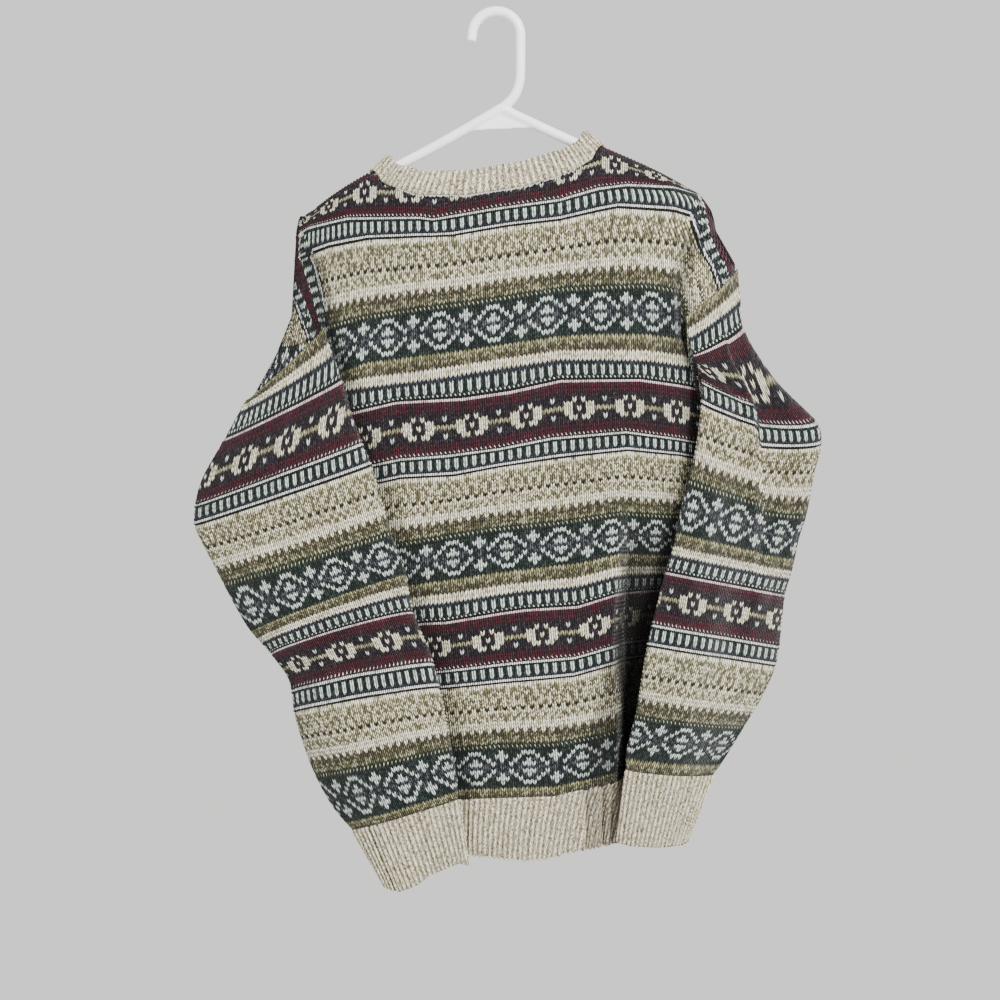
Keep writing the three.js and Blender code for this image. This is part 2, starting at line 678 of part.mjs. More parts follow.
// One arm, round its end and back along the lower bar to the bar's middle
function armPoints(arm) {
  const points = [];
  const spans = 8;
  for (let k = 0; k <= spans; k++) {
    const x = lerp(apex.x, arm.x, k / spans);
    points.push(new THREE.Vector3(x, 0, armHeight(x) - (k === spans ? armEndDip : 0)));
  }
  const out = Math.sign(arm.x);
  const turnX = arm.x + out * armEndRadius * 0.35;
  points.push(new THREE.Vector3(turnX + out * armEndRadius * 0.45, 0, arm.z - barDrop * 0.32));
  points.push(new THREE.Vector3(turnX + out * armEndRadius * 0.4, 0, arm.z - barDrop * 0.66));
  points.push(new THREE.Vector3(arm.x, 0, arm.z - barDrop));
  points.push(new THREE.Vector3(arm.x - out * 14, 0, barHeight(arm.x - out * 14)));
  points.push(new THREE.Vector3(apex.x - out * 3, 0, barHeight(apex.x - out * 3)));
  return points;
}

function barHeight(x) {
  const t = (x - arms.left.x) / (arms.right.x - arms.left.x);
  return lerp(arms.left.z, arms.right.z, t) - barDrop - 1;
}

// The flat web that stiffens the apex, with its lower edge curved
function webSolid() {
  const shape = new THREE.Shape();
  shape.moveTo(apex.x, apex.z);
  shape.lineTo(web.left, armHeight(web.left));
  shape.quadraticCurveTo(apex.x, web.foot + 6, web.right, armHeight(web.right));
  shape.closePath();
  const options = { depth: web.thickness, bevelEnabled: false, curveSegments: 8 };
  const plate = new THREE.ExtrudeGeometry(shape, options);
  plate.rotateX(Math.PI / 2);
  plate.translate(0, web.thickness / 2, 0);
  return toSolid(plate);
}

const group = new THREE.Group();

function addPiece(name, geometry, color, roughness, metalness = 0) {
  const material = new THREE.MeshStandardMaterial({ color, roughness, metalness });
  const mesh = new THREE.Mesh(geometry, material);
  mesh.name = name;
  group.add(mesh);
}

const patterned = 0x5c5a4c;
const oatmeal = 0xc9bd9c;
const moulded = 0xeef0f2;

const armholes = [sleeveLeft, sleeveRight].map(armholeOutline);
const neckbandRing = neckbandGeometry();
const neckCutter = withGap(toSolid(neckbandRing));
const backSolid = armholes.reduce(cutArmhole, toSolid(panelGeometry(true)));
const frontSolid = toSolid(panelGeometry(false));
addPiece('back_panel', fromSolid(largest(backSolid.subtract(neckCutter))), patterned, 0.95);
addPiece('front_panel', fromSolid(largest(frontSolid.subtract(neckCutter))), patterned, 0.95);
addPiece('sleeve_left', sleeveGeometry(sleeveLeft, foldsLeft), patterned, 0.95);
addPiece('sleeve_right', sleeveGeometry(sleeveRight, foldsRight), patterned, 0.95);
addPiece('cuff_left', cuffGeometry(sleeveLeft, cuffLeft), oatmeal, 0.95);
addPiece('cuff_right', cuffGeometry(sleeveRight, cuffRight), oatmeal, 0.95);
addPiece('hem_rib_back', hemGeometry(true), oatmeal, 0.95);
addPiece('hem_rib_front', hemGeometry(false), oatmeal, 0.95);
addPiece('neckband', neckbandRing, oatmeal, 0.95);

const armSteps = 28;
const hookSteps = 28;
const hanger = tube(hookPoints(), hookSteps)
  .add(tube(armPoints(arms.left), armSteps))
  .add(tube(armPoints(arms.right), armSteps))
  .add(webSolid());
addPiece('hanger', fromSolid(hanger), moulded, 0.35);

export default group;
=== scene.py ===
import math
import bpy
import numpy as np
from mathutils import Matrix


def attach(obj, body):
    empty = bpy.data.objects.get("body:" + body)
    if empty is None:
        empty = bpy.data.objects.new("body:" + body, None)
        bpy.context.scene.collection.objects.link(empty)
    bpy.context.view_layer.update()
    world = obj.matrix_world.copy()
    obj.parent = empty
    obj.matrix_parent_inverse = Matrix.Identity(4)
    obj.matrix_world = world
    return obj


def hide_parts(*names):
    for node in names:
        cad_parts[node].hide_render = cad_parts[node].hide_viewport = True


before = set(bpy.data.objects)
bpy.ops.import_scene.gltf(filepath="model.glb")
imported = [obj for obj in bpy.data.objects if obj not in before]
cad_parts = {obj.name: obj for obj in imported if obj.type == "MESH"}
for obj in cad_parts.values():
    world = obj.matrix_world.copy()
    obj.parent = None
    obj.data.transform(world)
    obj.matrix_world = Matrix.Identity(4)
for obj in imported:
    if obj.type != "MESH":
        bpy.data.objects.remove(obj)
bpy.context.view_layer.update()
bpy.ops.object.select_all(action="DESELECT")
chance = np.random.default_rng(11)


# small helpers; lengths are mm until a mesh is made
fineSteps = dict(body=601, ring=361, hem=801)  # how finely lines are walked to space their stitches

def linearColor(red, green, blue):
    out = []
    for value in (red, green, blue):
        value /= 255
        out.append(value / 12.92 if value <= 0.04045 else ((value + 0.055) / 1.055) ** 2.4)
    return out


def smoothStep(value, low, high):
    t = np.clip((value - low) / (high - low), 0, 1)
    return t * t * (3 - 2 * t)


def alone(*pieces):  # select just these, the first one active
    bpy.ops.object.select_all(action="DESELECT")
    for piece in pieces:
        piece.select_set(True)
    bpy.context.view_layer.objects.active = pieces[0]


def newMaterial(name):
    material = bpy.data.materials.new(name)
    material.use_nodes = True
    return material, material.node_tree, material.node_tree.nodes["Principled BSDF"]


def bump(distance, width):
    t = np.minimum(1, np.abs(distance) / width)
    return (1 - t * t) ** 2


def readTable(table, index, at, key=0):  # column index of a table, read where column key is at
    keys = np.array([row[key] for row in table], float)
    values = np.array([row[index] for row in table], float)
    order = np.argsort(keys)
    return np.interp(at, keys[order], values[order])


def curveThrough(values, at):  # a smooth curve through evenly spaced values
    values = np.asarray(values, float)
    last = len(values) - 1
    at = np.clip(at, 0, last)
    low = np.minimum(np.floor(at).astype(int), last - 1)
    t = at - low
    a, b = values[low], values[low + 1]
    slopeA = (b - values[np.maximum(low - 1, 0)]) * 0.5
    slopeB = (values[np.minimum(low + 2, last)] - a) * 0.5
    t2, t3 = t * t, t * t * t
    ends = (2 * t3 - 3 * t2 + 1) * a + (3 * t2 - 2 * t3) * b
    return ends + (t3 - 2 * t2 + t) * slopeA + (t3 - t2) * slopeB


# camera, light and floor

view = dict(middle=(0.004, -0.04, -0.492), distance=2.4, width=1.0, sensor=36)
studio = dict(
    key=dict(place=(1.15, -2.1, 1.0), size=0.6, power=170, color=(1.0, 0.985, 0.96)),
    fill=dict(place=(-1.9, -2.2, 0.1), size=2.0, power=16, color=(0.95, 0.98, 1.0)),
    back=dict(place=(0.6, 2.6, 0.8), size=2.0, power=60, color=(1.0, 1.0, 1.0)),
    world=(0.93, 0.925, 0.915), worldStrength=1.16, aim=(0.0, 0.0, -0.45),
    floorDrop=-1.62, floorSize=4.2, floorColor=(0.74, 0.74, 0.74), floorRoughness=0.8,
)


def makeCamera():
    place = (view["middle"][0], view["middle"][1] - view["distance"], view["middle"][2])
    bpy.ops.object.camera_add(location=place, rotation=(math.pi / 2, 0, 0))
    camera = bpy.context.object
    camera.name = "photoView"
    camera.data.sensor_width = view["sensor"]
    camera.data.lens = view["sensor"] * view["distance"] / view["width"]
    bpy.context.scene.camera = camera


def addLight(name, light):
    bpy.ops.object.light_add(type="AREA", location=light["place"])
    lamp = bpy.context.object
    lamp.name = name
    lamp.data.shape = "DISK"
    lamp.data.size = light["size"]
    lamp.data.energy = light["power"]
    lamp.data.color = light["color"]
    x, y, z = (to - start for to, start in zip(studio["aim"], light["place"]))
    lamp.rotation_euler = (math.atan2(math.hypot(x, y), -z), 0, math.atan2(-x, y))


def makeStudio():
    for name in ("key", "fill", "back"):
        addLight(name + "Light", studio[name])
    world = bpy.data.worlds.new("paleRoom")
    world.use_nodes = True
    background = world.node_tree.nodes["Background"]
    background.inputs["Color"].default_value = (*studio["world"], 1)
    background.inputs["Strength"].default_value = studio["worldStrength"]
    bpy.context.scene.world = world
    bpy.ops.mesh.primitive_plane_add(size=studio["floorSize"], location=(0, 0, studio["floorDrop"]))
    floor = bpy.context.object
    floor.name = "floor"
    material, _, shader = newMaterial("paleFloor")
    shader.inputs["Base Color"].default_value = (*studio["floorColor"], 1)
    shader.inputs["Roughness"].default_value = studio["floorRoughness"]
    floor.data.materials.append(material)


makeCamera()
makeStudio()
print("camera, lights and floor are set")


# yarns: main colour, second colour, share of stitches in the second, unevenness

yarns = {
    "c": ((204, 199, 170), (122, 114, 88), 0.32, 0.18),    # cream
    "C": ((220, 217, 194), (166, 158, 132), 0.28, 0.1),    # bright cream
    "t": ((94, 88, 66), (186, 180, 152), 0.34, 0.18),      # tan
    "b": ((58, 54, 41), (112, 106, 82), 0.32, 0.18),       # brown
    "e": ((34, 32, 22), (58, 54, 38), 0.2, 0.1),           # darkest brown
    "o": ((74, 73, 53), (142, 140, 112), 0.36, 0.18),      # olive
    "y": ((96, 94, 67), (150, 147, 114), 0.4, 0.18),       # yellow olive
    "g": ((20, 29, 27), (40, 50, 47), 0.3, 0.16),          # dark green
    "s": ((26, 30, 33), (62, 66, 70), 0.34, 0.18),         # slate
    "n": ((27, 31, 38), (44, 48, 57), 0.34, 0.14),         # navy
    "r": ((58, 20, 30), (34, 24, 29), 0.3, 0.14),          # burgundy
    "a": ((26, 21, 27), (46, 38, 43), 0.34, 0.14),         # aubergine
    "w": ((186, 196, 190), (150, 160, 156), 0.24, 0.08),   # pale grey
    "x": ((72, 77, 81), (44, 49, 53), 0.4, 0.12),          # faint grey
    "f": ((206, 203, 182), (170, 166, 140), 0.22, 0.06),   # flower cream
    "h": ((112, 110, 84), (160, 156, 126), 0.4, 0.12),     # chain
    "l": ((168, 166, 128), (126, 124, 92), 0.3, 0.1),      # thin pale line
    "W": ((212, 212, 208), (170, 172, 168), 0.22, 0.06),   # white ridge
    "P": ((210, 190, 188), (176, 150, 152), 0.25, 0.06),   # pink ridge
    "k": ((14, 14, 17), (22, 22, 24), 0.3, 0.1),           # black line
    "m": ((224, 216, 191), (146, 133, 104), 0.3, 0.18),    # oatmeal
}
repeatWidth = 12

# ridge rows: yarn of the lower half, of the upper half, and which half is broken by which yarn
ridges = {
    "R": ("k", "W", None, None), "U": ("g", "W", None, None), "B": ("g", "P", "upper", "r"),
    "V": ("P", "k", None, None), "D": ("w", "g", "lower", "g"), "L": ("l", "g", "lower", "g"),
}
flatRidges = "RUV"


def chartRow(ground, **figures):
    row = [ground] * repeatWidth
    for yarn, places in figures.items():
        for place in places:
            row[place % repeatWidth] = yarn
    return "".join(row)


def bothSides(*places, centre=0):
    return [centre + side * place for place in places for side in (1, -1)]


# the bands, each from its foot up; medallions stand on stitch 0 and flowers on stitch 6
everySecond = range(0, repeatWidth, 2)
otherSecond = range(1, repeatWidth, 2)
oliveBand = [chartRow("b"), chartRow("o", b=range(0, repeatWidth, 3)), chartRow("y")]
starHalf = [
    chartRow("g", w=[0, 1, -1, 6]),
    chartRow("g", w=bothSides(2) + [5, 6, 7]),
    chartRow("s", w=bothSides(3) + [0, 6]),
    chartRow("s", w=bothSides(4) + [0, 1, -1]),
]
starMiddle = [chartRow("s", x=[6, 0, 2, -2])]
starBand = [chartRow("g")] + starHalf + starMiddle + starHalf[::-1] + [chartRow("g"), chartRow("L")]
beigeBand = [
    chartRow("o"), chartRow("b", o=everySecond), chartRow("b"), chartRow("b", C=everySecond),
    chartRow("C"), chartRow("C"), chartRow("c", t=everySecond), chartRow("t", c=everySecond),
    chartRow("c"), chartRow("c", e=everySecond), chartRow("c", t=otherSecond),
    chartRow("t", c=everySecond), chartRow("c", t=otherSecond), chartRow("c", t=everySecond),
    chartRow("y", c=range(0, repeatWidth, 3)), chartRow("C", c=range(0, repeatWidth, 4)),
]
tickRow = chartRow("g", w=everySecond)
upperTicks = [chartRow("R"), chartRow("n"), tickRow, tickRow, chartRow("U")]
lowerTicks = [chartRow("V"), chartRow("D"), tickRow, tickRow, chartRow("n")]
flowerBand = [
    chartRow("B"), chartRow("r"), chartRow("r"), chartRow("a"),
    chartRow("a", f=bothSides(1, 2, centre=6), w=[0]),
    chartRow("a", f=bothSides(2, 3, centre=6)),
    chartRow("a", f=bothSides(2, 3, centre=6) + [6], h=[0, 1, -1, 2, -2]),
    chartRow("a", f=bothSides(2, 3, centre=6)),
    chartRow("a", f=bothSides(1, centre=6), w=[0]),
    chartRow("a"), chartRow("r"), chartRow("r"),
]
creamBand = [chartRow("C"), chartRow("C")]
longRepeat = starBand + beigeBand + upperTicks + flowerBand + lowerTicks + creamBand + oliveBand
topBands = starBand + beigeBand + upperTicks + flowerBand + [chartRow("r")] * 4
bodyChart = oliveBand + longRepeat * 2 + topBands
sleeveRows = 113
sleeveChart = bodyChart[:sleeveRows]


def chartCodes(chart, i, k, middle):  # each leg's yarn: i counts half rows from the foot, k counts legs
    codes = []
    for half, leg in zip(i.ravel(), k.ravel()):
        code = chart[min(half // 2, len(chart) - 1)][(leg // 2 - middle) % repeatWidth]
        if code in ridges:
            low, high, broken, between = ridges[code]
            code = high if half % 2 else low
            if broken == ("upper" if half % 2 else "lower") and leg % 2:
                code = between
        codes.append(code)
    return np.array(codes)


def yarnColors(codes):  # a colour for each leg of each stitch, uneven as spun wool is
    out = np.zeros((len(codes), 3))
    dice = chance.random((len(codes), 3))
    for code in sorted(set(codes)):
        main, second, share, uneven = yarns[code]
        here = codes == code
        a, b = np.array(linearColor(*main)), np.array(linearColor(*second))
        pick = (dice[here, 0] < share)[:, None]
        out[here] = np.where(pick, b, a) * (1 + uneven * 2 * (dice[here, 2:3] - 0.5))
    return out


stitch = dict(  # how far stitches point down, in rows, and how far they and their bands stand out, in mm
    point=0.72, flatPoint=0.1, bodyRelief=(0.45, -0.35), sleeveRelief=(0.35, -0.3),
    ridge=dict(R=[-0.6, 0.9], U=[-0.3, 0.9], V=[0.9, -0.6], B=[-0.5, 0.4], D=[0.3, 0], L=[0.5, -0.5]),
    darkBands="gsanrU", darkSwell=0.35, paleSwell=-0.4, swellSpan=13,
)


def pointOfStitch(chart):  # the ridge rows lie nearly straight
    flat = [row[0] in flatRidges for row in chart]
    last = len(chart) - 1
    return np.array([stitch["flatPoint"] if flat[max(0, k - 1)] or flat[min(last, k)] else stitch["point"]
                     for k in range(len(chart) + 1)])


def stitchRelief(chart, i, halves):  # how far each half row stands out; halves: the upper and the lower
    ridge, dark = [], []
    for row in chart:
        ridge += stitch["ridge"].get(row[0], [0, 0])
        dark += [stitch["darkSwell"] if row[0] in stitch["darkBands"] else stitch["paleSwell"]] * 2
    span = stitch["swellSpan"]  # patterned bands carry floats behind them and stand a little prouder
    swell = np.convolve(np.pad(dark + [0], span // 2, mode="edge"), np.ones(span) / span, mode="valid")
    at = np.minimum(i, 2 * len(chart))
    return np.where(i % 2 == 1, *halves) + np.array(ridge + [0])[at] + swell[at]


# the wool

wool = dict(  # each noise: scale, detail, roughness
    fibres=(760, 2, 0.6), hairs=(2600, 2, 0.6), patches=(24, 3, 0.5), flecks=(620, 3, 0.7),
    fibreMix=0.95, hairMix=0.65, patchMix=0.16, fleck=(0.08, 0.088, 0.08), fleckShare=(6.0, -3.5),
    darkest=0.03,
    legShade=0.03, legTop=1.36, legPower=1.15, rowShade=0.42, rowTop=1.12, rowPower=0.5,
    bumpHeight=0.0014, bumpStrength=0.8, fibreRelief=0.3, hairRelief=0.25,
    roughness=0.95, specular=0.15, sheen=0.08, sheenRoughness=0.45,
)
ribShade = dict(column=(0.74, 0.36), legs=(0.4, 0.68), rows=(0.42, 0.7), slant=-0.7)


def feed(tree, node, feeds):  # another node's socket is linked, anything else is set
    for name, value in feeds.items():
        if isinstance(value, bpy.types.NodeSocket):
            tree.links.new(value, node.inputs[name])
        else:
            node.inputs[name].default_value = value


def addNode(tree, kind, feeds, **settings):
    node = tree.nodes.new("ShaderNode" + kind)
    for name, value in settings.items():
        setattr(node, name, value)
    feed(tree, node, feeds)
    return node.outputs


def maths(tree):
    return lambda operation, *values: addNode(tree, "Math", dict(enumerate(values)), operation=operation)[0]


def noiseNode(tree, vector, scale, detail, roughness):
    feeds = {"Vector": vector, "Scale": scale, "Detail": detail, "Roughness": roughness}
    return addNode(tree, "TexNoise", feeds)[0]


def stockingStitch(calc, across, along):  # how full the yarn is: two legs to a stitch, a groove at each row; it also paints shade, darkening the colour in the grooves
    def arch(at, power, top, foot):
        wave = calc("SINE", calc("MULTIPLY", calc("FRACT", at), math.pi))
        return calc("MULTIPLY_ADD", calc("POWER", calc("MAXIMUM", wave, 0.0), power), top - foot, foot)

    legs = arch(calc("MULTIPLY", across, 2.0), wool["legPower"], wool["legTop"], wool["legShade"])
    return calc("MULTIPLY", legs, arch(along, wool["rowPower"], wool["rowTop"], wool["rowShade"]))


def singleRib(calc, across, along):  # a knit column with two legs, then a purl column that lies back; it also paints shade, darkening the purl column and the grooves
    turn = calc("FRACT", calc("MULTIPLY_ADD", across, 0.5, 0.25))
    column = calc("COSINE", calc("MULTIPLY", calc("SUBTRACT", turn, 0.25), 2 * math.pi))
    column = calc("MULTIPLY_ADD", column, 0.5, 0.5)
    within = calc("MULTIPLY", turn, 2.0)
    legs = calc("ABSOLUTE", calc("SINE", calc("MULTIPLY", within, 2 * math.pi)))
    point = calc("ABSOLUTE", calc("MULTIPLY_ADD", within, 2.0, -1.0))
    rows = calc("FRACT", calc("MULTIPLY_ADD", point, ribShade["slant"], along))
    rows = calc("SINE", calc("MULTIPLY", rows, math.pi))
    shades = [calc("MULTIPLY_ADD", part, *ribShade[name])
              for name, part in (("column", column), ("legs", legs), ("rows", rows))]
    return calc("MULTIPLY", calc("MULTIPLY", shades[0], shades[1]), shades[2])


def woolMaterial(name, stitchFormAndShade):
    material, tree, shader = newMaterial(name)
    calc = maths(tree)
    yarn = addNode(tree, "Attribute", {}, attribute_name="yarn")["Color"]
    stitches = addNode(tree, "SeparateXYZ", {0: addNode(tree, "UVMap", {}, uv_map="stitchMap")[0]})
    full = stitchFormAndShade(calc, stitches[0], stitches[1])
    place = addNode(tree, "TexCoord", {})["Object"]
    fibres, hairs, patches, flecks = (noiseNode(tree, place, *wool[kind])
                                      for kind in ("fibres", "hairs", "patches", "flecks"))

    def uneven(noise, mix):
        return calc("MULTIPLY_ADD", calc("SUBTRACT", noise, 0.5), mix * 2, 1.0)

    marl = calc("MULTIPLY", uneven(fibres, wool["fibreMix"]), uneven(hairs, wool["hairMix"]))
    # painted shade: full darkens the yarn's colour in the grooves between legs and rows; marl and patches are
    # the yarn's own unevenness
    light = calc("MULTIPLY", marl, calc("MULTIPLY", full, uneven(patches, wool["patchMix"])))
    paleShare = calc("MAXIMUM", calc("MULTIPLY_ADD", flecks, *wool["fleckShare"]), 0.0)
    paleShare = calc("MINIMUM", calc("MULTIPLY", paleShare, full), 1.0)
    light = calc("MAXIMUM", light, wool["darkest"])
    dyedAndShaded = addNode(tree, "VectorMath", {0: yarn, "Scale": light}, operation="SCALE")[0]
    paleFlecks = addNode(tree, "VectorMath", {0: wool["fleck"], "Scale": paleShare}, operation="SCALE")[0]
    relief = calc("MULTIPLY_ADD", fibres, wool["fibreRelief"], full)
    relief = calc("MULTIPLY_ADD", hairs, wool["hairRelief"], relief)
    feed(tree, shader, {
        "Base Color": addNode(tree, "VectorMath", {0: dyedAndShaded, 1: paleFlecks}, operation="ADD")[0],
        "Normal": addNode(tree, "Bump", {"Strength": wool["bumpStrength"], "Distance": wool["bumpHeight"],
                                         "Height": relief})[0],
        "Roughness": wool["roughness"], "Specular IOR Level": wool["specular"],
        "Sheen Weight": wool["sheen"], "Sheen Roughness": wool["sheenRoughness"],
    })
    return material


patternedWool = woolMaterial("patternedWool", stockingStitch)
ribbedWool = woolMaterial("oatmealRib", singleRib)


# a knitted wall: an outer face with a point for every half stitch, a coarser inner face, and rims

def surfaceNormals(points, closed):
    if closed:
        across = np.roll(points, -1, axis=1) - np.roll(points, 1, axis=1)
    else:
        across = np.gradient(points, axis=1)
    along = np.gradient(points, axis=0)
    normals = np.cross(across, along)
    length = np.linalg.norm(normals, axis=2, keepdims=True)
    return normals / np.maximum(length, 1e-9)


def smoothedGrid(grid, passes, closed):
    for _ in range(passes):
        padded = np.pad(grid, ((1, 1), (0, 0), (0, 0)), mode="edge")
        grid = 0.25 * padded[:-2] + 0.5 * grid + 0.25 * padded[2:]
        if closed:
            grid = 0.25 * np.roll(grid, 1, axis=1) + 0.5 * grid + 0.25 * np.roll(grid, -1, axis=1)
        else:
            padded = np.pad(grid, ((0, 0), (1, 1), (0, 0)), mode="edge")
            grid = 0.25 * padded[:, :-2] + 0.5 * grid + 0.25 * padded[:, 2:]
    return grid / np.maximum(np.linalg.norm(grid, axis=2, keepdims=True), 1e-9)


def knittedWall(name, points, relief, colors, closed, thickness, step, material, outward, perStitch=2):
    rows, cols = points.shape[:2]
    spans = cols if closed else cols - 1
    normals = smoothedGrid(surfaceNormals(points, closed), 2, closed)
    if np.sum(normals * outward(points)) < 0:
        normals = -normals
    outer = points + normals * relief[..., None]
    innerRows = sorted(set(range(0, rows, step[0])) | {rows - 1})
    innerCols = sorted(set(range(0, cols, step[1])) | (set() if closed else {cols - 1}))
    inner = (points - normals * thickness)[np.ix_(innerRows, innerCols)]
    if not closed:  # the side rims stay inside the wall's own width
        for edge, inside in ((0, 1), (-1, -2)):
            pull = points[innerRows, innerCols[inside]] - points[innerRows, innerCols[edge]]
            pull[:, 1] = 0
            pull /= np.maximum(np.linalg.norm(pull, axis=1, keepdims=True), 1e-9)
            inner[:, edge] = points[innerRows, innerCols[edge]] + pull * thickness
    rowsIn, colsIn = len(innerRows), len(innerCols)
    spansIn = colsIn if closed else colsIn - 1
    groups = innerCols + [cols] if closed else innerCols

    def outerCorner(row, col):  # a point's number and its place in stitches and rows
        return (row * cols + col % cols, col / perStitch, row / 2)

    def innerCorner(a, b):
        return (rows * cols + a * colsIn + b % colsIn, groups[b] / perStitch, innerRows[a] / 2)

    def colorNear(row, col):
        return colors[min(row, rows - 2) * spans + min(col, spans - 1)]

    def quad(corner, a, b):
        return [corner(a, b), corner(a, b + 1), corner(a + 1, b + 1), corner(a + 1, b)]

    faces = [quad(outerCorner, i, k) for i in range(rows - 1) for k in range(spans)]
    faceColors = list(colors)
    outerCount = len(faces)
    for a in range(rowsIn - 1):
        for b in range(spansIn):
            face = quad(innerCorner, a, b)
            faces.append([face[0], face[3], face[2], face[1]])
            faceColors.append(colorNear(innerRows[a], innerCols[b]))

    def rim(outerLine, innerLine, groups, flip, colorOf):
        for b in range(len(innerLine) - 1):
            start, end = groups[b], groups[b + 1]
            fan = [[innerLine[b], outerLine[q + 1], outerLine[q]] for q in range(start, end)]
            fan.append([innerLine[b], innerLine[b + 1], outerLine[end]])
            faces.extend(face[::-1] if flip else face for face in fan)
            faceColors.extend(colorOf(q) for q in [*range(start, end), start])

    for row, rowIn, flip in ((0, 0, False), (rows - 1, rowsIn - 1, True)):
        rim([outerCorner(row, q) for q in range(spans + 1)],
            [innerCorner(rowIn, b) for b in range(spansIn + 1)],
            groups, flip, lambda q, row=row: colorNear(row, q))
    if not closed:
        for col, colIn, flip in ((0, 0, True), (cols - 1, colsIn - 1, False)):
            rim([outerCorner(q, col) for q in range(rows)], [innerCorner(a, colIn) for a in range(rowsIn)],
                innerRows, flip, lambda q, col=col: colorNear(q, col))

    # points in one place become one, and faces that close up to a line go
    vertices = np.concatenate([outer.reshape(-1, 3), inner.reshape(-1, 3)]) * 0.001
    keys = np.round(vertices * 1e6).astype(np.int64)
    _, first, same = np.unique(keys, axis=0, return_index=True, return_inverse=True)
    same = first[same.ravel()].tolist()
    kept, shown = [], []
    for index, face in enumerate(faces):
        face = [(same[number], *place) for number, *place in face]
        face = [corner for q, corner in enumerate(face) if corner[0] != face[q - 1][0]]
        if len(set(corner[0] for corner in face)) > 2:
            kept.append(index)
            shown.append(face)
    used = sorted({corner[0] for face in shown for corner in face})
    renumber = {number: place for place, number in enumerate(used)}
    polygons = [[renumber[corner[0]] for corner in face] for face in shown]
    vertices = vertices[used]
    triangles = np.array([[f[0], f[q], f[q + 1]] for f in polygons for q in range(1, len(f) - 1)])
    a, b, c = (vertices[triangles[:, n]] for n in range(3))
    if np.sum(a * np.cross(b, c)) < 0:  # inside out
        polygons = [face[::-1] for face in polygons]
        shown = [face[::-1] for face in shown]
    mesh = bpy.data.meshes.new(name)
    mesh.from_pydata(vertices.tolist(), [], polygons)
    stitchUv = np.array([corner[1:] for face in shown for corner in face])
    counts = [len(face) for face in shown]
    outerFaces = np.repeat(np.array(kept) < outerCount, counts)
    inWidth = stitchUv[:, 0] * perStitch / cols
    bakeUv = np.c_[np.where(outerFaces, 0.01 + 0.78 * inWidth, 0.82 + 0.17 * inWidth),
                   0.01 + 0.98 * stitchUv[:, 1] / (rows / 2)]
    for layer, uv in (("stitchMap", stitchUv), ("OFBake", bakeUv)):
        mesh.uv_layers.new(name=layer).data.foreach_set("uv", uv.ravel())
    cornerColors = np.repeat(np.array(faceColors)[kept], counts, axis=0)
    cornerColors = np.c_[cornerColors, np.ones(len(cornerColors))].astype(np.float32)
    yarnLayer = mesh.color_attributes.new("yarn", "FLOAT_COLOR", "CORNER")
    yarnLayer.data.foreach_set("color", cornerColors.ravel())
    mesh.materials.append(material)
    mesh.validate()
    mesh.update()
    piece = bpy.data.objects.new(name, mesh)
    bpy.context.collection.objects.link(piece)
    piece.data.shade_smooth()
    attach(piece, "root")
    print(name, len(triangles), "triangles")
    return piece


# the hanger's arms, which the shoulders lie on

hanger = dict(tube=4.7, radius=5.3, hook=24.5, apexX=5, apexZ=-94, leftX=-182, leftZ=-205.5, leftBow=5.5,
              rightX=192, rightZ=-184, rightBow=3, clearance=1.2, barDrop=24, endRadius=11, endDip=1.6,
              webLeft=-38, webRight=47, webFoot=-113, webThick=2.6, voxel=0.00125, smoothing=4)


def armHeight(x):
    x = np.asarray(x, float)
    left = x < hanger["apexX"]
    endX = np.where(left, hanger["leftX"], hanger["rightX"])
    endZ = np.where(left, hanger["leftZ"], hanger["rightZ"])
    bow = np.where(left, hanger["leftBow"], hanger["rightBow"])
    t = np.clip((x - hanger["apexX"]) / (endX - hanger["apexX"]), 0, 1.06)
    return hanger["apexZ"] + (endZ - hanger["apexZ"]) * t + bow * np.sin(np.pi * np.minimum(1, t) ** 2.5)


# the body: sections down it, its neck, and the lines that its rows follow

body = dict(
    stitches=120, rows=157, thickness=2.6,
    neckLeft=-129, neckRight=110, neckBack=24, neckFront=28, frontDrop=62,
    shoulderRound=14, neckFade=120, foldReach=1.15, squareness=9, pitch=4.55, rowPitch=4.05, seamGap=0.15,
    innerStep=(8, 2), armholeInset=5, seat=3, neckEnd=12, neckDropPower=1.2, neckSpreadPower=0.6,
    crowding=(0.7, 1.8),
)
neckMiddle = (body["neckLeft"] + body["neckRight"]) / 2
neckHalf = (body["neckRight"] - body["neckLeft"]) / 2
bodySections = [  # z, left, right, back, front
    (-178, -188, 203, 15, 15), (-184, -189, 209, 15, 15), (-190, -190, 213.5, 15, 15),
    (-198, -197, 219, 15, 15), (-208, -201, 222, 15, 15), (-218, -203, 223.5, 16, 16),
    (-252, -205, 243, 17, 18), (-305, -208, 243, 20, 22), (-345, -224, 240, 22, 25),
    (-392, -250, 236, 23, 28), (-445, -250, 230, 24, 31), (-520, -238, 228, 25, 34),
    (-600, -222, 222, 26, 36), (-690, -188, 212, 27, 37), (-760, -150, 200, 28, 35),
    (-800, -128, 188, 26, 31), (-860, -116, 170, 25, 29),
]
neckSeam = [(-129, -160), (-112, -173), (-80, -184), (-30, -185), (33, -175), (80, -159), (98, -147),
            (110, -135)]
ribSeam = [(-131, -797), (20, -791), (60, -790), (128, -774), (194, -762)]
hemEdge = [(-118, -850), (-60, -851), (-27, -850), (1, -852), (30, -855), (51, -853), (78, -846),
           (105, -840), (120, -837), (172, -826)]
middleStitch = [(-148, -12), (-336, -4), (-430, 2), (-550, 9), (-640, 18), (-755, 31), (-860, 36)]  # z, x
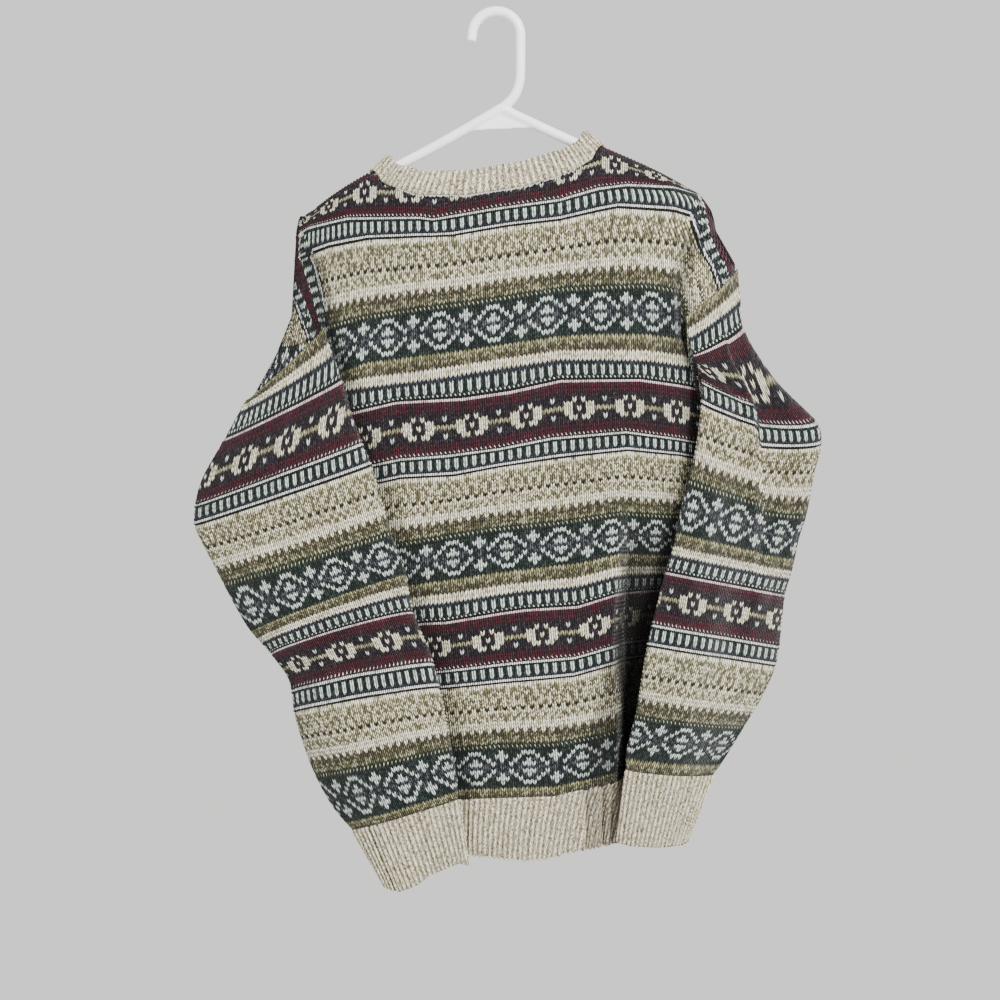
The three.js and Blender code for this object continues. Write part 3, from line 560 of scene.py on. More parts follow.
rowLines = [  # row, then points of the line that it follows: x, z
    (0, ribSeam),
    (15, [(-131, -749), (-41, -739), (4, -735), (59, -734), (104, -726), (124, -720), (194, -708)]),
    (31, [(-131, -692), (-56, -683), (1, -677), (78, -670), (124, -657), (194, -647)]),
    (48, [(-131, -626), (-73, -618), (-51, -617), (4, -607.6), (29, -604), (82, -601), (120, -589),
          (194, -582)]),
    (58, [(-140, -584), (-75, -575), (4, -563), (83, -554), (124, -545), (194, -548)]),
    (70, [(-150, -541), (-83.5, -530.6), (-7, -518), (65, -511), (125, -502), (181, -505.6), (226, -512)]),
    (86, [(-160, -485), (-96, -470.8), (-42, -468), (4, -459), (65, -450), (132.6, -442.6), (184, -447.5),
          (230, -455)]),
    (91, [(-170, -466), (-96, -450), (-51, -446.6), (4, -439.5), (56, -428.8), (131, -422.5), (184, -429.7),
          (232, -438)]),
    (103, [(-190, -430), (-148, -407), (-102, -395.6), (-96, -395), (-33, -392), (15, -385), (65, -373.4),
           (145, -372.5), (184, -378), (236, -388)]),
    (108, [(-200, -410), (-150, -379), (-64, -368.8), (-6, -359), (64, -348.7), (104, -349), (152, -350),
           (194, -355.7), (238, -366)]),
    (113, [(-200, -388), (-150, -359), (-129, -351.6), (-77, -345), (-20, -338), (64, -325), (104, -323),
           (152, -323), (188, -328), (240, -342)]),
    (125, [(-206, -326), (-171, -313), (-136, -304), (-77, -295), (-20, -288.4), (64, -275), (104, -273),
           (152, -271.5), (186, -277), (243, -296)]),
    (141, [(-206, -252), (-188, -244), (-169, -237), (-129, -229), (-77, -227), (-45, -226), (13, -216),
           (64, -210), (104, -200.7), (123, -196.9), (180, -200.7), (205, -208), (243, -226)]),
    (146, [(-206, -224), (-190, -215), (-150, -206), (-77, -206), (-64, -208), (-6, -198), (64, -188),
           (104, -176), (133, -172), (180, -174), (211, -181.6), (243, -200)]),
]
backFolds = [  # top x and z, foot x and z, width, depth
    (-60, -420, -72, -800, 34, -5), (40, -560, 52, -800, 40, 3.5), (-20, -230, -6, -420, 46, 2.2),
    (70, -250, 60, -470, 40, -2.6), (-110, -240, -96, -420, 34, -3), (95, -640, 96, -820, 16, 3),
    (20, -700, 10, -860, 18, 1.8), (-40, -640, -30, -860, 22, -2.2),
]
frontFolds = [
    (-120, -330, -84, -800, 44, 8), (-30, -420, -10, -800, 38, -7), (70, -360, 66, -800, 46, 7),
    (140, -440, 128, -800, 34, -8), (-160, -380, -150, -640, 26, -5), (20, -300, 24, -560, 30, 3.5),
    (-80, -560, -60, -850, 20, 3), (105, -600, 96, -850, 22, -3.5),
]
backRecess = dict(
    edge=119, edgeWidth=15, far=212, farWidth=46, waver=2.5, waverLength=31,
    down=[(-480, 0), (-520, 9), (-560, 22), (-610, 34), (-650, 41), (-770, 41), (-800, 27), (-860, 24)],
    shadeEdge=[(-860, 93), (-800, 90), (-735, 88), (-700, 101), (-650, 110), (-560, 119)],
)
shoulderCreases = [  # troughs where the sleeves' cloth begins, and how wide and deep they are
    dict(line=[(-189, -245), (-181, -256), (-178, -268), (-174, -281), (-172, -299), (-170, -322),
               (-161, -344), (-151, -367)], width=8, depth=6),
    dict(line=[(200, -227), (192, -247), (188, -264), (187, -292), (190, -327), (194, -345)],
         width=9, depth=9),
]


def section(z, index):
    return readTable(bodySections, index, z)


def foldDepth(folds, x, z):
    depth = np.zeros(np.broadcast(x, z).shape)
    for topX, topZ, footX, footZ, width, high in folds:
        t = np.clip((z - topZ) / (footZ - topZ), 0, 1)
        strength = np.sin(np.pi * np.minimum(1, 0.1 + t * 0.75))
        depth += np.where(z < topZ, high * strength * bump(x - (topX + (footX - topX) * t), width), 0)
    return depth


def bodyDepth(x, z, isBack, recessed=True):
    left, right = section(z, 1), section(z, 2)
    u = np.clip((x - (left + right) / 2) / ((right - left) / 2), -1, 1)
    full = section(z, 3 if isBack else 4)
    around = np.sqrt(np.maximum(0, 1 - np.abs(u) ** body["squareness"]))
    folds = foldDepth(backFolds if isBack else frontFolds, x, z)
    if isBack and recessed:
        edge = backRecess["edge"] + backRecess["waver"] * np.sin(z / backRecess["waverLength"])
        far = backRecess["far"]
        inside = smoothStep(x, edge, edge + backRecess["edgeWidth"])
        inside = inside * (1 - smoothStep(x, far - backRecess["farWidth"], far))
        folds = folds - readTable(backRecess["down"], 1, z) * inside
        for crease in shoulderCreases:
            low, high = crease["line"][-1][1], crease["line"][0][1]
            fade = smoothStep(z, low, low + 20) * (1 - smoothStep(z, high - 4, high + 14))
            off = x - readTable(crease["line"], 0, z, 1)
            folds = folds - crease["depth"] * fade * bump(off, crease["width"])
    return around * (full + folds * bump(u, body["foldReach"]) ** 0.3)


def shoulderHeight(x):
    slope = (armHeight(x + 1) - armHeight(x - 1)) / 2
    return armHeight(x) + (hanger["tube"] + hanger["clearance"] + body["seat"]) * np.hypot(1, slope)


def neckSeamHeight(x):
    toEnd = np.minimum(x - body["neckLeft"], body["neckRight"] - x)
    share = np.clip(1 - toEnd / body["neckEnd"], 0, 1)
    return readTable(neckSeam, 1, x) * (1 - share) + shoulderHeight(x) * share


def isInNeck(x):
    return (x > body["neckLeft"]) & (x < body["neckRight"])


def neckSpread(x):
    return np.sqrt(np.maximum(0, 1 - ((x - neckMiddle) / neckHalf) ** 2))


def panelTop(x, isBack):
    dip = 0 if isBack else body["frontDrop"] * neckSpread(x) ** body["neckDropPower"]
    return np.where(isInNeck(x), neckSeamHeight(x) - dip, shoulderHeight(x))


def rowHeight(row, x, top, inNeck):  # the height that a row hangs at, at x
    keys = [line[0] for line in rowLines]
    heights = [readTable(line[1], 1, x) for line in rowLines]
    last = heights[-1]
    perRow = np.where(inNeck, body["rowPitch"], (top - last) / (body["rows"] - keys[-1]))
    z = last + perRow * (row - keys[-1])
    for lowRow, highRow, low, high in zip(keys[:-1], keys[1:], heights[:-1], heights[1:]):
        t = (row - lowRow) / (highRow - lowRow)
        z = np.where((row >= lowRow) & (row <= highRow), low + (high - low) * t, z)
    return z


def stitchesAcross(isBack, share):  # x of each column on each half row, stepped off along the cloth
    row = np.arange(body["rows"] * 2 + 1)[:, None] / 2
    fine = np.linspace(0, 1, fineSteps["body"])[None, :]
    z = np.full((len(row), fine.size), -400.0)
    for _ in range(5):
        left, right = section(z[:, :1], 1), section(z[:, -1:], 2)
        x = left + (right - left) * fine
        top = panelTop(x, isBack)
        z = np.clip(rowHeight(row, x, top, isInNeck(x)), readTable(ribSeam, 1, x), top)
    depth = bodyDepth(x, z, isBack)
    steps = np.hypot(np.diff(x, axis=1), np.diff(depth, axis=1))
    arc = np.concatenate([np.zeros((len(row), 1)), np.cumsum(steps, axis=1)], axis=1)
    out = np.empty((len(row), len(share)))
    for r in range(len(row)):
        middle = np.interp(0, x[r] - readTable(middleStitch, 1, z[r]), arc[r])
        half = np.where(share < 0, middle, arc[r, -1] - middle)
        crowd = np.clip(body["pitch"] * body["stitches"] / 2 / half, *body["crowding"])
        at = middle + half * crowd * share / (1 + (crowd - 1) * share ** 2)
        out[r] = np.interp(at, arc[r], x[r])
    return out


def panelSurface(isBack):
    columns = body["stitches"] * 2 + 1
    share = (np.arange(columns) - body["stitches"]) / body["stitches"]
    lag = pointOfStitch(bodyChart)
    k, i = np.meshgrid(np.arange(columns), np.arange(body["rows"] * 2 + 1))
    row = np.maximum(0, i / 2 - np.interp(i / 2, np.arange(len(lag)), lag) * (k % 2))
    x = stitchesAcross(isBack, share)
    topX = x[-1]
    topZ = panelTop(topX, isBack)
    inNeck = isInNeck(topX)
    z = rowHeight(row, x, topZ[None, :], inNeck[None, :])
    x = np.where(z >= topZ[None, :], topX[None, :], x)
    z = np.minimum(z, topZ[None, :])
    z = np.maximum(z, readTable(ribSeam, 1, x) + body["seamGap"])
    below = topZ[None, :] - z
    overArm = np.sqrt(1 - (1 - np.minimum(1, below / body["shoulderRound"])) ** 2)
    neckDeep = body["neckBack"] if isBack else body["neckFront"]
    opened = np.where(inNeck, neckDeep * neckSpread(topX) ** body["neckSpreadPower"], 0)[None, :]
    fade = 1 - smoothStep(below, 0, body["neckFade"])
    hang = bodyDepth(x, z, isBack) * overArm
    nearNeck = opened * fade * (1 - 0.4 * overArm)
    depth = np.where(hang > 0, np.maximum(body["seamGap"], np.hypot(hang, nearNeck)), hang)
    return np.stack([x, -depth if isBack else depth, z], axis=2), i, k


# at the ends of the shoulders the bands turn and run down beside the sleeves
shoulders = dict(
    left=dict(
        seam=[(-208, -200), (-208, -247), (-201, -263), (-191, -286), (-182, -313), (-172, -340)],
        near=[(-207, 8.5), (-255, 8.5), (-286, 5), (-313, 4)], perRow=[(-207, 2.5), (-255, 2.5), (-313, 2.0)],
        corner=-244, foot=-335, reach=-150, side=-1,
    ),
    right=dict(
        seam=[(213, -176), (220.7, -197), (222.6, -212), (226.4, -227.5), (238, -246.6), (246.5, -271.5),
              (252, -300)],
        near=[(-190, 8), (-300, 9)], perRow=[(-190, 2.8), (-300, 2.8)],
        corner=-227, foot=-335, reach=170, side=1,
    ),
)
turnedBands = [  # from this row up: yarn, tick's yarn, and how many of five stitches are the tick's
    (150, "r", "a", 1), (146.9, "r", "r", 0), (146.1, "W", "W", 0), (143, "g", "w", 2), (142.1, "n", "n", 0),
    (141.3, "W", "W", 0), (140.4, "k", "k", 0),
]
turned = dict(seamRow=146, plainRow=139.5, legWidth=2.1, blend=1.3)


def turnedCode(value, column):
    for start, yarn, tick, ticks in turnedBands:
        if value >= start:
            return tick if column % 5 < ticks else yarn
    code = bodyChart[max(0, int(value))][column % repeatWidth]
    return ridges[code][0] if code in ridges else code


def besideLine(x, z, line):  # how far off a line each point is, and how far along
    nearest, along, walked = np.full(len(x), 1e9), np.zeros(len(x)), 0.0
    for (ax, az), (bx, bz) in zip(line[:-1], line[1:]):
        length = math.hypot(bx - ax, bz - az)
        t = np.clip(((x - ax) * (bx - ax) + (z - az) * (bz - az)) / length ** 2, 0, 1)
        gap = np.hypot(x - ax - t * (bx - ax), z - az - t * (bz - az))
        along = np.where(gap < nearest, walked + t * length, along)
        nearest = np.minimum(nearest, gap)
        walked += length
    return nearest, along


def turnShoulderBands(points, codes, rows):
    x, z = points[:, 0], points[:, 2]
    for shoulder, crease in zip(shoulders.values(), shoulderCreases):
        nearest, along = besideLine(x, z, shoulder["seam"])
        near, perRow = readTable(shoulder["near"], 1, z), readTable(shoulder["perRow"], 1, z)
        seamRow, blend = turned["seamRow"], turned["blend"]
        down = np.where(nearest < near, body["rows"] - (body["rows"] - seamRow) * nearest / near,
                        seamRow - (nearest - near) / perRow)
        smooth = np.logaddexp(down / blend, rows / blend) * blend
        outwards = (x - readTable(crease["line"], 0, z, 1)) * shoulder["side"] > 0
        inReach = (x - shoulder["reach"]) * shoulder["side"] > 0
        corner = inReach & (z > shoulder["corner"]) & (down > turned["plainRow"]) & (smooth - rows > 0.5)
        wing = inReach & (z <= shoulder["corner"]) & (z > shoulder["foot"]) & outwards
        value = np.where(z > shoulder["corner"], smooth, down)
        for index in np.nonzero(corner | wing)[0]:
            codes[index] = turnedCode(float(value[index]), int(along[index] / turned["legWidth"]))
    return codes


def openArmhole(piece, stations):  # the cloth under the sleeve's first ring is left out
    turn = np.linspace(0, 2 * np.pi, 56, endpoint=False)[None, :]
    ring = ringPoints(stations, np.zeros(1), turn, [], None)[0]
    inward = ring.mean(axis=0) - ring
    inward[:, 1] = 0
    ring = ring + body["armholeInset"] * inward / np.linalg.norm(inward, axis=1, keepdims=True)
    count = len(ring)
    corners = [(x * 0.001, y, z * 0.001) for y in (-0.09, 0.0) for x, _, z in ring]
    sides = [(q, (q + 1) % count, count + (q + 1) % count, count + q) for q in range(count)]
    mesh = bpy.data.meshes.new("armholeCutter")
    mesh.from_pydata(corners, [], sides + [tuple(range(count))[::-1], tuple(range(count, 2 * count))])
    cutter = bpy.data.objects.new("armholeCutter", mesh)
    bpy.context.collection.objects.link(cutter)
    alone(cutter)
    bpy.ops.object.mode_set(mode="EDIT")
    bpy.ops.mesh.select_all(action="SELECT")
    bpy.ops.mesh.normals_make_consistent(inside=False)
    bpy.ops.object.mode_set(mode="OBJECT")
    alone(piece)
    armhole = piece.modifiers.new("armhole", "BOOLEAN")
    armhole.operation = "DIFFERENCE"
    armhole.solver = "MANIFOLD"
    armhole.object = cutter
    bpy.ops.object.modifier_apply(modifier="armhole")
    bpy.data.objects.remove(cutter)


paintedShadeLevels = dict(  # how dark the painted shade is, and how far from the line it starts
    recess=0.86, recessDepth=(2.5, 22), crease=0.5, creaseWidth=15, sleeveEdge=0.5, sleeveWidth=24,
    backBeside=0.62, hemBeside=0.42, besideWidth=(-8, 10), besideHeight=(560, 650),
)


def paintedSleeveShadow(x, z, strength):  # painted shadow of the right sleeve: the cloth's colour darkens towards the deep fold, further out near the hem
    edge = readTable(backRecess["shadeEdge"], 1, z)
    near, far = paintedShadeLevels["besideWidth"]
    return 1 - strength * smoothStep(x, edge + near, edge + far) * smoothStep(-z, *paintedShadeLevels["besideHeight"])


def paintedBodyShade(points):  # painted shade: the colour darkens in the recess, in the creases and beside the sleeves, where shadow falls
    x, z = points[:, 0], points[:, 2]
    deep = bodyDepth(x, z, True, False) - bodyDepth(x, z, True)
    shade = 1 - paintedShadeLevels["recess"] * smoothStep(deep, *paintedShadeLevels["recessDepth"])
    shade = shade * paintedSleeveShadow(x, z, paintedShadeLevels["backBeside"])
    for crease in shoulderCreases:
        away = besideLine(x, z, crease["line"])[0]
        shade = shade * (1 - paintedShadeLevels["crease"] * bump(away, paintedShadeLevels["creaseWidth"]))
    for stations in (leftStations, rightStations):
        away = besideLine(x, z, list(zip(stations["innerX"], stations["innerZ"])))[0]
        shade = shade * (1 - paintedShadeLevels["sleeveEdge"] * bump(away, paintedShadeLevels["sleeveWidth"]))
    return shade


def makePanel(isBack):
    points, i, k = panelSurface(isBack)
    legs, halfRows = k[:-1, :-1], i[:-1, :-1]
    middle = 0.25 * (points[:-1, :-1] + points[1:, :-1] + points[:-1, 1:] + points[1:, 1:])
    middle = middle.reshape(-1, 3)
    codes = chartCodes(bodyChart, halfRows, legs, body["stitches"] // 2)
    if isBack:
        codes = turnShoulderBands(middle, codes, (halfRows / 2 + 0.25).ravel())
    relief = stitchRelief(bodyChart, i, stitch["bodyRelief"])
    relief = relief * np.minimum(np.minimum(k, 2 * body["stitches"] - k) / 4, 1) * np.minimum(1, i / 2)
    away = np.array([0, -1 if isBack else 1, 0])
    colors = yarnColors(codes)
    # painted shade: the back's colours are darkened in the recess, in the creases and beside the sleeves
    if isBack:
        colors = colors * paintedBodyShade(middle)[:, None]
    piece = knittedWall("backOfBody" if isBack else "frontOfBody", points, relief, colors, False,
                        body["thickness"], body["innerStep"], patternedWool, lambda p: away)
    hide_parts("back_panel" if isBack else "front_panel")
    return piece


# sleeves: stations down each one, from the armhole to the cuff

sleeve = dict(stitches=96, pitch=4.1, clearance=2.6, startClearance=0.5, thickness=2.6, innerStep=(4, 3),
              restFade=(0.82, 1.32), crowding=(0.8, 1.9))
leftStations = dict(
    outerX=[-254, -258, -275, -296, -303, -304, -292, -277, -262, -247, -225, -207, -203, -195,
            -184, -166, -145],
    outerZ=[-390, -400, -433, -470, -496, -518, -544, -572, -600, -624, -648, -674, -706, -736,
            -766, -800, -824],
    innerX=[-174, -165, -153, -145, -134, -124, -115, -106, -98, -90, -82, -66, -56, -50, -45, -40, -38],
    innerZ=[-316, -343, -374, -404, -434, -458, -488, -520, -543, -566, -606, -644, -680, -708,
            -736, -764, -791],
    under=[84, 70, 52, 36, 24, 14, 6, 0, 0, 0, 0, 0, 0, 0, 0, 0, 0],
    sag=[4, 4, 3, 2, 2, 2, 2, 2, 0, -4, -6, -5, -4, -2, 0, 0, 0],
    thick=[5.4, 12, 19, 24, 27, 28, 28, 27, 26, 26, 27, 26, 25, 24, 23, 22, 20],
    row=[0, 5, 10, 16, 22, 27, 35, 43, 49, 55, 65, 75, 82, 90, 98, 106, 113],
)
rightStations = dict(
    outerX=[245, 247, 250, 281, 322, 328, 321, 314, 306, 299, 291, 287, 282, 268, 252, 232, 219],
    outerZ=[-256, -286, -322, -370, -412, -436, -466, -504, -530, -562, -590, -626, -660, -692,
            -718, -750, -768],
    innerX=[191, 193, 198, 203, 206, 205, 201, 194, 185, 178, 169, 160, 151, 145, 140, 131, 130],
    innerZ=[-306, -327, -348, -360, -372, -396, -430, -468, -500, -536, -566, -602, -638, -672,
            -704, -740, -761],
    under=[84, 74, 68, 60, 48, 34, 20, 8, 0, 0, 0, 0, 0, 0, 0, 0, 0],
    sag=[3, 3, 3, 4, 6, 5, 4, 3, 2, 1, 0, 0, 0, 0, 2, 2, 2],
    thick=[5.4, 11, 17, 23, 27, 28, 28, 27, 26, 26, 26, 26, 25, 24, 22, 20, 19],
    row=[0, 5, 10, 16, 22, 27, 35, 43, 50, 58, 65, 74, 82, 90, 98, 109, 113],
)
leftFolds = [  # across from the inner edge, top and foot station, width, depth
    (0.62, 1.5, 8, 0.16, -5), (0.3, 6, 13, 0.14, 4), (0.55, 9.5, 12.5, 0.2, -6), (0.4, 1, 5, 0.08, -3),
    (0.8, 9, 12, 0.1, 3), (0.25, 12, 16, 0.1, -2.5), (0.7, 3, 7, 0.07, 2.5),
]
rightFolds = [
    (0.22, 4, 12, 0.14, 3), (0.6, 9, 14.5, 0.18, -4), (0.3, 2, 6, 0.08, -2.5), (0.8, 6, 11, 0.1, 3),
    (0.35, 12, 16, 0.1, -2.5),
]
rightCrease = [  # a fold lies over the rest of the sleeve: place across, drop of the rows beyond it, depth
    (0.62, 0, 0), (0.62, 0, 0), (0.6, 2, 2), (0.55, 9, 7), (0.46, 18, 10), (0.46, 20, 10), (0.52, 14, 9),
    (0.59, 8, 7), (0.645, 4, 5), (0.69, 1, 3), (0.73, 0, 0),
]
creaseForm = dict(dropWidth=0.05, fallWidth=0.035, backAfter=0.12, lipAt=0.03, lipWidth=0.08, lip=0.4, fade=0.1)
leftCuff = dict(outerX=-112, outerZ=-879, innerX=-27, innerZ=-857, thick=21, ribs=46,
                wave=[(0, 0), (0.12, 5), (0.3, 3), (0.45, 1), (0.62, -6), (0.8, -8), (1, 0)],
                grooves=[(9, 2.2), (20, 1.6), (30, 2.4)])
rightCuff = dict(outerX=193, outerZ=-835, innerX=121, innerZ=-834, thick=21, ribs=40,
                 wave=[(0, 0), (0.2, -3), (0.6, -4), (0.9, -3), (1, 0)], grooves=[(12, 1.0), (24, 1.4)])
sleeveSides = dict(  # medallions: at this row, so many stitches from the middle of the face
    left=dict(stations=leftStations, folds=leftFolds, crease=None, cuff=leftCuff,
              medallions=[(15, 9.7), (49, 5.9), (71, 3.9), (104, 3.6)]),
    right=dict(stations=rightStations, folds=rightFolds, crease=rightCrease, cuff=rightCuff,
               medallions=[(0, 2.0), (49, 2.0), (71, 2.4), (104, 1.0)]),
)


def restDepth(x, z):  # what the sleeves lie on, falling away softly beyond the body's sides
    left, right = section(z, 1), section(z, 2)
    u = np.abs((x - (left + right) / 2) / ((right - left) / 2))
    folds = np.maximum(0, foldDepth(backFolds[:2], x, z))
    return (1 - smoothStep(u, *sleeve["restFade"])) * (section(z, 3) + folds)


def ringPoints(stations, order, phase, folds, crease):
    at = {name: curveThrough(values, order)[:, None] for name, values in stations.items() if name != "row"}
    acrossX, acrossZ = at["outerX"] - at["innerX"], at["outerZ"] - at["innerZ"]
    downX, downZ = acrossZ, -acrossX
    turn = np.where(downZ > 0, -1, 1) / np.hypot(downX, downZ)
    share = 0.5 - 0.5 * np.cos(phase)
    lift = np.sin(phase)
    belly = np.sqrt(np.abs(lift)) * np.sign(lift)
    up = np.maximum(0, lift)
    x = at["innerX"] + acrossX * share + downX * turn * at["sag"] * up
    z = at["innerZ"] + acrossZ * share + downZ * turn * at["sag"] * up - at["under"] * np.maximum(0, -lift)
    near = np.minimum(1, order / 2)[:, None]
    rest = bodyDepth(x, z, True, False) * (1 - near) + restDepth(x, z) * near
    clear = sleeve["startClearance"] + (sleeve["clearance"] - sleeve["startClearance"]) * near
    y = rest + clear + at["thick"] * (0.5 + 0.5 * belly)
    for across, top, foot, width, depth in folds:
        along = np.clip((order - top) / (foot - top), 0, 1)[:, None]
        y = y + np.where(lift > 0, depth * np.sin(np.pi * along) * bump(share - across, width), 0)
    if crease:
        form = creaseForm
        seam, drop, depth = (np.interp(order, range(len(crease)), column)[:, None]
                             for column in zip(*crease))
        beyond = np.clip((1 - share) / (1 - seam), 0, 1) ** 0.8
        shown = (lift > 0) & (depth > 0)
        z = z - np.where(shown, drop * smoothStep(share, seam, seam + form["dropWidth"]) * beyond, 0)
        lower = smoothStep(share, seam, seam + form["fallWidth"])
        lower = lower * (1 - smoothStep(share, seam + form["backAfter"], 1.0))
        lip = bump(share - seam + form["lipAt"], form["lipWidth"]) * form["lip"]
        y = y + np.where(shown, depth * (lip - lower) * smoothStep(share, 0, form["fade"]), 0)
    return np.stack([x, -y, z], axis=2)


# arc is how far round each point lies from the middle of the visible face, as a share of half the ring
def evenRing(stations, order, arc, folds, crease):
    fine = np.linspace(-np.pi / 2, 1.5 * np.pi, fineSteps["ring"])
    table = ringPoints(stations, order, np.broadcast_to(fine, (len(order), len(fine))), folds, None)
    steps = np.linalg.norm(np.diff(table, axis=1), axis=2)
    lengths = np.concatenate([np.zeros((len(order), 1)), np.cumsum(steps, axis=1)], axis=1)
    phase = np.empty(arc.shape)
    for r in range(len(order)):
        middle = np.interp(np.pi / 2, fine, lengths[r])
        total = lengths[r, -1]
        phase[r] = np.interp((middle + arc[r] * total / 2) % total, lengths[r], fine)
    return ringPoints(stations, order, phase, folds, crease), lengths[:, -1]


def ringOrder(stations, row):
    return np.interp(row, stations["row"], np.arange(len(stations["row"])))


def awayFromRing(points):
    return points - points.mean(axis=1, keepdims=True)


def makeSleeve(side):
    shape = sleeveSides[side]
    stations, folds = shape["stations"], shape["folds"]
    k, i = np.meshgrid(np.arange(sleeve["stitches"] * 2), np.arange(sleeveRows * 2 + 1))
    lag = pointOfStitch(sleeveChart)
    lags = np.interp(i[:, 0] / 2, np.arange(len(lag)), lag)
    fromSeam = sleeveRows - i[:, 0] / 2  # rows are numbered from the cuff up, as in the chart
    shift = readTable(shape["medallions"], 1, fromSeam)
    share = (k - sleeve["stitches"]) / sleeve["stitches"]
    grids = []
    for odd in (0, 1):
        order = ringOrder(stations, np.clip(fromSeam + odd * lags, 0, sleeveRows))
        total = evenRing(stations, order, np.zeros((len(order), 1)), folds, None)[1]
        crowd = np.clip(sleeve["pitch"] * sleeve["stitches"] / total, *sleeve["crowding"])[:, None]
        arc = crowd * share / (1 + (crowd - 1) * share ** 2) - (shift * sleeve["pitch"] * 2 / total)[:, None]
        grids.append(evenRing(stations, order, arc, folds, shape["crease"])[0])
    points = np.where((k % 2 == 1)[..., None], grids[1], grids[0])
    codes = chartCodes(sleeveChart, i[:-1], k[:-1], sleeve["stitches"] // 2)
    relief = stitchRelief(sleeveChart, i, stitch["sleeveRelief"])
    relief = relief * np.minimum(1, np.minimum(i, sleeveRows * 2 - i) / 3)
    piece = knittedWall(side + "Sleeve", points, relief, yarnColors(codes), True, sleeve["thickness"],
                        sleeve["innerStep"], patternedWool, awayFromRing)
    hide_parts("sleeve_" + side)
    return piece


backPiece = makePanel(True)
frontPiece = makePanel(False)
openArmhole(backPiece, leftStations)
openArmhole(backPiece, rightStations)
print("body is knitted")

leftSleeve = makeSleeve("left")
rightSleeve = makeSleeve("right")
print("sleeves are knitted")


# ribs: knit columns stand up, purl columns lie back

rib = dict(pointsPerRib=6, rowHeight=3.6, height=1.7, thickness=2.2, sizes=(0.75, 1.15), beads=0.16,
           perStitch=3, innerStep=(4, 3), columnPower=0.7, sink=0.4, grooveWidth=1.2,
           seamGap=0.3, cuffSwell=0.72)


def ribRelief(columns, rows, grooves):
    k = np.arange(columns)
    profile = 0.5 + 0.5 * np.cos(2 * np.pi * (k % rib["pointsPerRib"]) / rib["pointsPerRib"])
    number = k // rib["pointsPerRib"]
    sizes = chance.uniform(*rib["sizes"], number.max() + 2)
    line = (profile ** rib["columnPower"]) * rib["height"] * sizes[number] - rib["sink"]
    for place, depth in grooves:
        line = line - depth * bump(number - place, rib["grooveWidth"]) * (1 - profile)
    beads = rib["beads"] * np.cos(np.pi * np.arange(rows))[:, None]
    return line[None, :] + beads * profile[None, :]


def makeRib(name, points, closed, node, outward, grooves=()):
    rows, columns = points.shape[:2]
    fade = np.minimum(1, (np.arange(rows) + 0.4) / 1.5)[:, None]
    relief = ribRelief(columns, rows, grooves) * np.minimum(fade, fade[::-1] + 0.3)
    if not closed:
        fromSide = np.minimum(np.arange(columns), columns - 1 - np.arange(columns))
        relief = relief * np.minimum(1, fromSide / 4)[None, :]
    colors = yarnColors(np.full((rows - 1) * (columns if closed else columns - 1), "m"))
    # painted shadow of the right sleeve darkens the back hem's colours
    if node == "hem_rib_back":
        middle = points[:-1, :-1].reshape(-1, 3)
        colors = colors * paintedSleeveShadow(middle[:, 0], middle[:, 2], paintedShadeLevels["hemBeside"])[:, None]
    piece = knittedWall(name, points, relief, colors, closed, rib["thickness"], rib["innerStep"],
                        ribbedWool, outward, rib["perStitch"])
    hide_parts(node)
    return piece


def makeCuff(side):
    stations, cuff = sleeveSides[side]["stations"], sleeveSides[side]["cuff"]
    last = len(stations["row"]) - 1
    arc = np.linspace(-1, 1, cuff["ribs"] * rib["pointsPerRib"], endpoint=False)[None, :]
    start = evenRing(stations, np.array([float(last)]), arc, [], None)[0][0]
    corners = ("outerX", "outerZ", "innerX", "innerZ")
    end = {name: [cuff.get(name, 0)] * 3 for name in (*corners, "thick", "under", "sag")}
    endRing = evenRing(end, np.array([2.0]), arc, [], None)[0][0]
    outerX, outerZ, innerX, innerZ = (stations[name][last] for name in corners)
    axis = np.array([outerZ - innerZ, 0, innerX - outerX], float)
    axis /= np.linalg.norm(axis)
    axis = -axis if axis[2] > 0 else axis
    share = np.clip((start[:, 0] - innerX) / (outerX - innerX), 0, 1)
    endRing = endRing + np.outer(readTable(cuff["wave"], 1, share), (0, 0, 1))
    rows = int(np.linalg.norm(endRing - start, axis=1).mean() / rib["rowHeight"]) * 2 + 1
    t = np.linspace(0, 1, rows)[:, None, None]
    points = (start + axis * rib["seamGap"])[None] * (1 - t) + endRing[None] * t
    points = points + rib["cuffSwell"] * np.sin(np.pi * t) * np.array([0, -1, 0])
    return makeRib(side + "Cuff", points, True, "cuff_" + side, awayFromRing, cuff["grooves"])


leftCuffPiece = makeCuff("left")
rightCuffPiece = makeCuff("right")


hem = dict(
    ribs=68, scallop=1.1, backPleats=[(91, 4.5, 5), (107.5, 5, 7), (117, 4, 5), (-31, 7, 4)],
    frontPleats=[(-60, 8, 4), (40, 7, 5), (120, 6, 5)],
)


